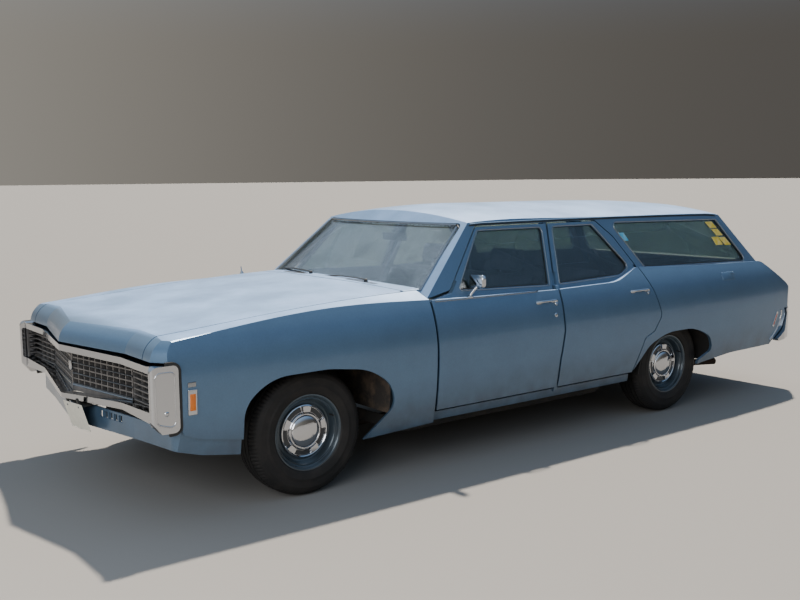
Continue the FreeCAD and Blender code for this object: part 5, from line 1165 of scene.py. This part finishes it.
# Steering wheel: a thin moulded rim with finger ridges, two flat spokes and a padded hub, with
# a slim bright horn ring. The moulding has a pebble grain of 3.3 mm, as has the dashboard's pad.
padding, tree = new_material("moulded_padding")
place = node(tree, "ShaderNodeTexCoord")
cells = node(tree, "ShaderNodeTexVoronoi", {"Scale": 1000 / 3.33}, {"Vector": place.outputs["Object"]})
tone = node(tree, "ShaderNodeMixRGB", {"Color1": linear("#27323c"), "Color2": linear("#3a4753")},
            {0: cells.outputs[0]})
bump = node(tree, "ShaderNodeBump", {"Strength": 0.25, "Distance": 0.0005}, {"Height": cells.outputs[0]})
finished(tree, {"Roughness": 0.5}, {"Base Color": tone.outputs[0], "Normal": bump.outputs[0]})
finish_nodes(("dashboard",), padding)

COLUMN_LEAN = math.radians(24)
wheel_centre = Vector((0.390, -0.440, 0.905))
wheel_axis = Y * math.cos(COLUMN_LEAN) + Z * math.sin(COLUMN_LEAN)
wheel_up = Z * math.cos(COLUMN_LEAN) - Y * math.sin(COLUMN_LEAN)


def wheel_spokes(count):
    angles = [2 * math.pi * step / count for step in range(count)]
    return [X * math.cos(angle) + wheel_up * math.sin(angle) for angle in angles]


RIM_COUNT, RIM_RADIUS, RIDGE = 96, 0.198, 0.0012
spokes = wheel_spokes(RIM_COUNT)
rim_path = [wheel_centre + spoke * (RIM_RADIUS + RIDGE * (i % 2)) for i, spoke in enumerate(spokes)]
hub_rows = [(-0.060, 0.044), (-0.020, 0.046), (0.004, 0.050), (0.012, 0.046), (0.016, 0.030), (0.017, 0.0001)]
wheel_shapes = [swept(rim_path, round_section(0.0115, 12), spokes, closed=True),
                turned(hub_rows, wheel_centre - wheel_axis * 0.012, wheel_axis, 40)]
for side in (1, -1):
    path = [wheel_centre + X * (side * x) - wheel_axis * sink for x,
            sink in ((0.035, 0.010), (0.12, 0.010), (0.192, 0))]
    wheel_shapes.append(swept(path, flat_strip(0.018, -0.004, 0.004, 0.004), wheel_axis))
make("steering_rim", wheel_shapes, padding, "steering_wheel", ["steering_wheel"])
ring_path = [wheel_centre + spoke * 0.105 + wheel_axis * 0.004 for spoke in wheel_spokes(48)]
horn_ring = swept(ring_path, round_section(0.0035, 8), [p - wheel_centre for p in ring_path], closed=True)
make("horn_ring", [horn_ring], chrome, "steering_wheel")


# Dashboard face: a brushed panel with two round dials, a radio and the glove box lid; none of them
# carries words.
DASH_FACE, DASH_Z = -0.752, 0.872
dash_tilt = Matrix.Rotation(math.radians(-12), 3, "X")
make("dash_panel", [block((0.0, DASH_FACE + 0.010, DASH_Z), (1.52, 0.012, 0.085), 0.004, dash_tilt, 2)],
     dull_alloy)
dial_rows = [(0, 0.044), (0.006, 0.044), (0.010, 0.040), (0.006, 0.036), (0.004, 0.0001)]
fittings = [turned(dial_rows, (x, DASH_FACE + 0.016, DASH_Z), (0, 1, 0.2), 32) for x in (0.30, 0.48)]
fittings += [block((x, DASH_FACE + 0.018, DASH_Z), size, 0.004, dash_tilt, 2)
             for x, size in ((0.06, (0.18, 0.010, 0.050)), (-0.42, (0.36, 0.008, 0.066)))]
make("dash_fittings", fittings, padding)


# Door cards: a vinyl armrest and a chromed window crank with its knob on each door.
for side_name, side in SIDES:
    for body, y in (("front_door_" + side_name, -0.30), ("rear_door_" + side_name, 0.48)):
        x = side * (HALF - 0.112)
        armrest = block((x - side * 0.020, y, 0.700), (0.055, 0.30, 0.060), 0.018, None, 4)
        make(body + "_armrest", [armrest], vinyl, body)
        crank = [block((x - side * 0.004, y - 0.16, 0.800), (0.014, 0.090, 0.016), 0.005,
                       Matrix.Rotation(math.radians(30), 3, "X"), 3),
                 turned([(-0.012, 0.014), (0.014, 0.012), (0.024, 0.011), (0.026, 0.0001)],
                        (x, y - 0.125, 0.822),
                        (-side, 0, 0), 20),
                 turned([(-0.014, 0.020), (0.008, 0.018), (0.010, 0.0001)], (x, y - 0.20, 0.777),
                        (-side, 0, 0), 20)]
        make(body + "_crank", crank, chrome, body)


# Chassis: pressed steel under black paint and oil, coil springs at the front, dampers at the rear
# and the tailpipe's mouth. Dirt and rust come in clouds of 125 mm over each metal.
def worn_metal(name, colour, rust, metallic, roughness, share):
    """Metal or plastic with a second colour, rust or dirt, over a share of it."""
    material, tree = new_material(name)
    place = node(tree, "ShaderNodeTexCoord")
    cloud = node(tree, "ShaderNodeTexNoise", {"Scale": 1000 / 125, "Detail": 8.0, "Roughness": 0.7},
                 {"Vector": place.outputs["Object"]})
    mask = node(tree, "ShaderNodeMapRange", {1: 0.62 - share * 0.3, 2: 0.72, 3: 0.0, 4: 1.0},
                {0: cloud.outputs[0]})
    tone = node(tree, "ShaderNodeMixRGB", {"Color1": linear(colour), "Color2": linear(rust)},
                {0: mask.outputs[0]})
    bump = node(tree, "ShaderNodeBump", {"Strength": 0.3, "Distance": 0.001}, {"Height": cloud.outputs[0]})
    finished(tree, {"Metallic": metallic, "Roughness": roughness},
             {"Base Color": tone.outputs[0], "Normal": bump.outputs[0]})
    return material


chassis_paint = worn_metal("chassis_paint", "#171615", "#332b25", 0.0, 0.75, 0.4)
oily_iron = worn_metal("oily_cast_iron", "#252423", "#3a2d22", 0.5, 0.6, 0.5)
rusty_steel = worn_metal("rusty_steel", "#302a26", "#4a3324", 0.4, 0.75, 0.7)
dusty_undercoat = worn_metal("dusty_undercoat", "#231f1c", "#57483a", 0.0, 0.9, 0.6)
finish_nodes(("front_inner_panels",), dusty_undercoat)
finish_nodes(("chassis_frame", "floor_pan", "load_floor", "front_suspension"), chassis_paint)
finish_nodes(("engine", "steering_knuckle_left", "steering_knuckle_right", "rear_axle"), oily_iron)
finish_nodes(("fuel_tank", "exhaust"), rusty_steel)


def coil(centre, radius, wire, height, turns):
    path, ways = [], []
    count = turns * 20
    for step in range(count + 1):
        angle = 2 * math.pi * step / 20
        spoke = Vector((math.cos(angle), math.sin(angle), 0))
        path.append(Vector(centre) + spoke * radius + Z * (height * step / count))
        ways.append(spoke)
    return swept(path, round_section(wire, 8), ways)


make("front_springs", [coil((side * 0.545, FRONT_AXLE, 0.242), 0.052, 0.008, 0.21, 6) for side in (1, -1)],
     chassis_paint)
DAMPER_ROWS = [(0.0, 0.010), (0.02, 0.022), (0.20, 0.022), (0.205, 0.026), (0.30, 0.026), (0.31, 0.010)]
make("rear_dampers", [turned(DAMPER_ROWS, (side * 0.54, REAR_AXLE + 0.10, 0.30), (side * -0.1, 0.35, 1), 20)
                      for side in (1, -1)], chassis_paint)
make("tailpipe_mouth", [turned([(0.0, 0.0255), (0.004, 0.0262), (0.0045, 0.0225), (-0.02, 0.0225),
                                (-0.02, 0.0001)],
                               (0.612, REAR_AXLE + 0.9600, 0.208), (0.0837, 0.9958, -0.065), 24)], rusty_steel)


# Under the hood: a pressed air cleaner on the engine with ribbed covers beside it, a five-bladed
# fan, rubber hoses, a battery, a washer bottle and the brake booster on the firewall.
black_enamel = worn_metal("black_stove_enamel", "#121314", "#2a2623", 0.2, 0.35, 0.2)
old_polythene = worn_metal("yellowed_polythene", "#b9b59a", "#8e8a70", 0.0, 0.5, 0.5)
ENGINE_TOP = 0.860
cleaner = Vector((0.0, -1.34, ENGINE_TOP))
CLEANER_ROWS = [(0.0, 0.070), (0.022, 0.075), (0.026, 0.182), (0.034, 0.190), (0.066, 0.190), (0.076, 0.180),
                (0.080, 0.120), (0.078, 0.030), (0.078, 0.0001)]
snorkel = [cleaner + Vector(step) for step in ((-0.02, -0.17, 0.050), (-0.03, -0.25, 0.050),
                                               (-0.05, -0.33, 0.048))]
make("air_cleaner", [turned(CLEANER_ROWS, cleaner, Z, 64), swept(snorkel, round_section(0.030, 16), X)],
     black_enamel)
make("air_cleaner_nut", [turned([(0.0, 0.016), (0.008, 0.016), (0.010, 0.006), (0.020, 0.006),
                                 (0.022, 0.0001)],
                                cleaner + Z * 0.076, Z, 16)], stainless)
covers = []
for side in (1, -1):
    covers += [block((side * 0.218, -1.60 + 0.085 * rib, ENGINE_TOP - 0.012), (0.100, 0.012, 0.052), 0.004,
                     None, 2)
               for rib in range(7)]
    covers.append(block((side * 0.218, -1.345, ENGINE_TOP - 0.016), (0.092, 0.560, 0.048), 0.012, None, 3))
make("valve_covers", covers, black_enamel)
hub = Vector((0.0, -2.250, 0.700))
pitch = Matrix.Rotation(math.radians(28), 3, "Z")
blades = []
for index in range(5):
    turn = Matrix.Rotation(2 * math.pi * index / 5, 3, "Y")
    blades.append(block(hub + turn @ Vector((0, 0, 0.130)), (0.095, 0.004, 0.170), 0.0015, turn @ pitch, 1))
blades.append(turned([(0.0, 0.0001), (0.001, 0.045), (0.030, 0.050), (0.034, 0.018), (0.562, 0.018)], hub, Y,
                     24))
make("fan", blades, rusty_steel)
UPPER_HOSE = [(0.27, -2.345, 0.845), (0.25, -2.24, 0.872), (0.16, -1.92, 0.858), (0.10, -1.74, 0.825),
              (0.09, -1.660, 0.800)]
LOWER_HOSE = [(-0.30, -2.345, 0.590), (-0.29, -2.15, 0.580), (-0.22, -1.86, 0.600), (-0.19, -1.665, 0.640)]
make("radiator_hoses", [swept([Vector(p) for p in run], round_section(radius, 14), X)
                        for run, radius in ((UPPER_HOSE, 0.020), (LOWER_HOSE, 0.022))], black_rubber)
make("battery", [block((-0.615, -1.640, 0.866), (0.175, 0.250, 0.170), 0.006, None, 2)]
     + [turned([(0.0, 0.009), (0.014, 0.008), (0.015, 0.0001)], (-0.655, y, 0.951), Z, 12) for y in (-1.735,
                                                                                                     -1.545)],
     black_rubber)
make("washer_bottle", [block((0.620, -2.020, 0.850), (0.150, 0.110, 0.138), 0.018, None, 4),
                       turned([(0.0, 0.024), (0.016, 0.024), (0.018, 0.0001)], (0.620, -2.020, 0.918), Z, 20)],
     old_polythene)
booster = Vector((0.400, -1.006, 0.800))
BOOSTER_ROWS = [(0.0, 0.105), (0.020, 0.122), (0.030, 0.126), (0.040, 0.122), (0.085, 0.095), (0.095, 0.040),
                (0.110, 0.032), (0.230, 0.030), (0.236, 0.0001)]
make("brake_booster", [turned(BOOSTER_ROWS, booster, FORWARD, 40),
                       block(booster + Vector((0, -0.170, 0.036)), (0.052, 0.120, 0.030), 0.006, None, 2)],
     black_enamel)


# Tailgate: a folded handle bar, a bright strip across the lower edge and a blank plate in its
# recess; bright surrounds round the red tail lamps, and two guards on the bumper.
def on_tail(name, x, z):
    """Point and rearward normal where a level ray from behind meets a panel."""
    return meeting(name, (x, 3.2, z), (0, -1, 0))


strip = [on_tail("tailgate", -0.70 + 1.40 * step / 20, 0.690) for step in range(21)]
make("tailgate_strip", [swept([p for p, w in strip], bead(0.022, 0.0035, 0.002), [w for p, w in strip])],
     stainless,
     "tailgate")
grip = [on_tail("tailgate", -0.10 + 0.20 * step / 8, 0.900) for step in range(9)]
grip_path = [p + w * (0.004 + 0.014 * math.sin(math.pi * i / 8)) for i, (p, w) in enumerate(grip)]
make("tailgate_handle", [swept(grip_path, round_section(0.009, 12), [w for p, w in grip])], chrome, "tailgate")
point, way = on_tail("tailgate", 0, 0.745)
turn = Matrix.Rotation(math.atan2(way.z, way.y), 3, "X")
make("rear_plate", [block(point + way * 0.004, (0.304, 0.0018, 0.110), 0.0007, turn, 1)], plate_paint,
     "tailgate")
LAMP_CORNERS = [(0.784, 0.664), (0.896, 0.664), (0.896, 0.796), (0.784, 0.796)]
surrounds = []
for side_name, side in SIDES:
    loop = []
    for index, (x0, z0) in enumerate(LAMP_CORNERS):
        x1, z1 = LAMP_CORNERS[(index + 1) % 4]
        for share in (0, 0.25, 0.5, 0.75):
            x, z = side * (x0 + (x1 - x0) * share), z0 + (z1 - z0) * share
            found = [on_tail(name, x, z) for name in ("quarter_panel_" + side_name, "tail_lamps")]
            found = [(point, way) for point, way in found if point is not None]
            if found:
                loop.append(max(found, key=lambda pair: pair[0].y))
    surrounds.append(swept([p for p, w in loop], bead(0.009, 0.0035, 0.003), [w for p, w in loop],
                           closed=True))
make("tail_lamp_surrounds", surrounds, chrome)
guard_points = [on_tail("rear_bumper", x, 0.520)[0] - Vector((0, 0.0155, 0)) for x in (-0.42, 0.42)]
make("rear_bumper_guards", [block(point, (0.046, 0.030, 0.180), 0.012, None, 4) for point in guard_points],
     chrome)
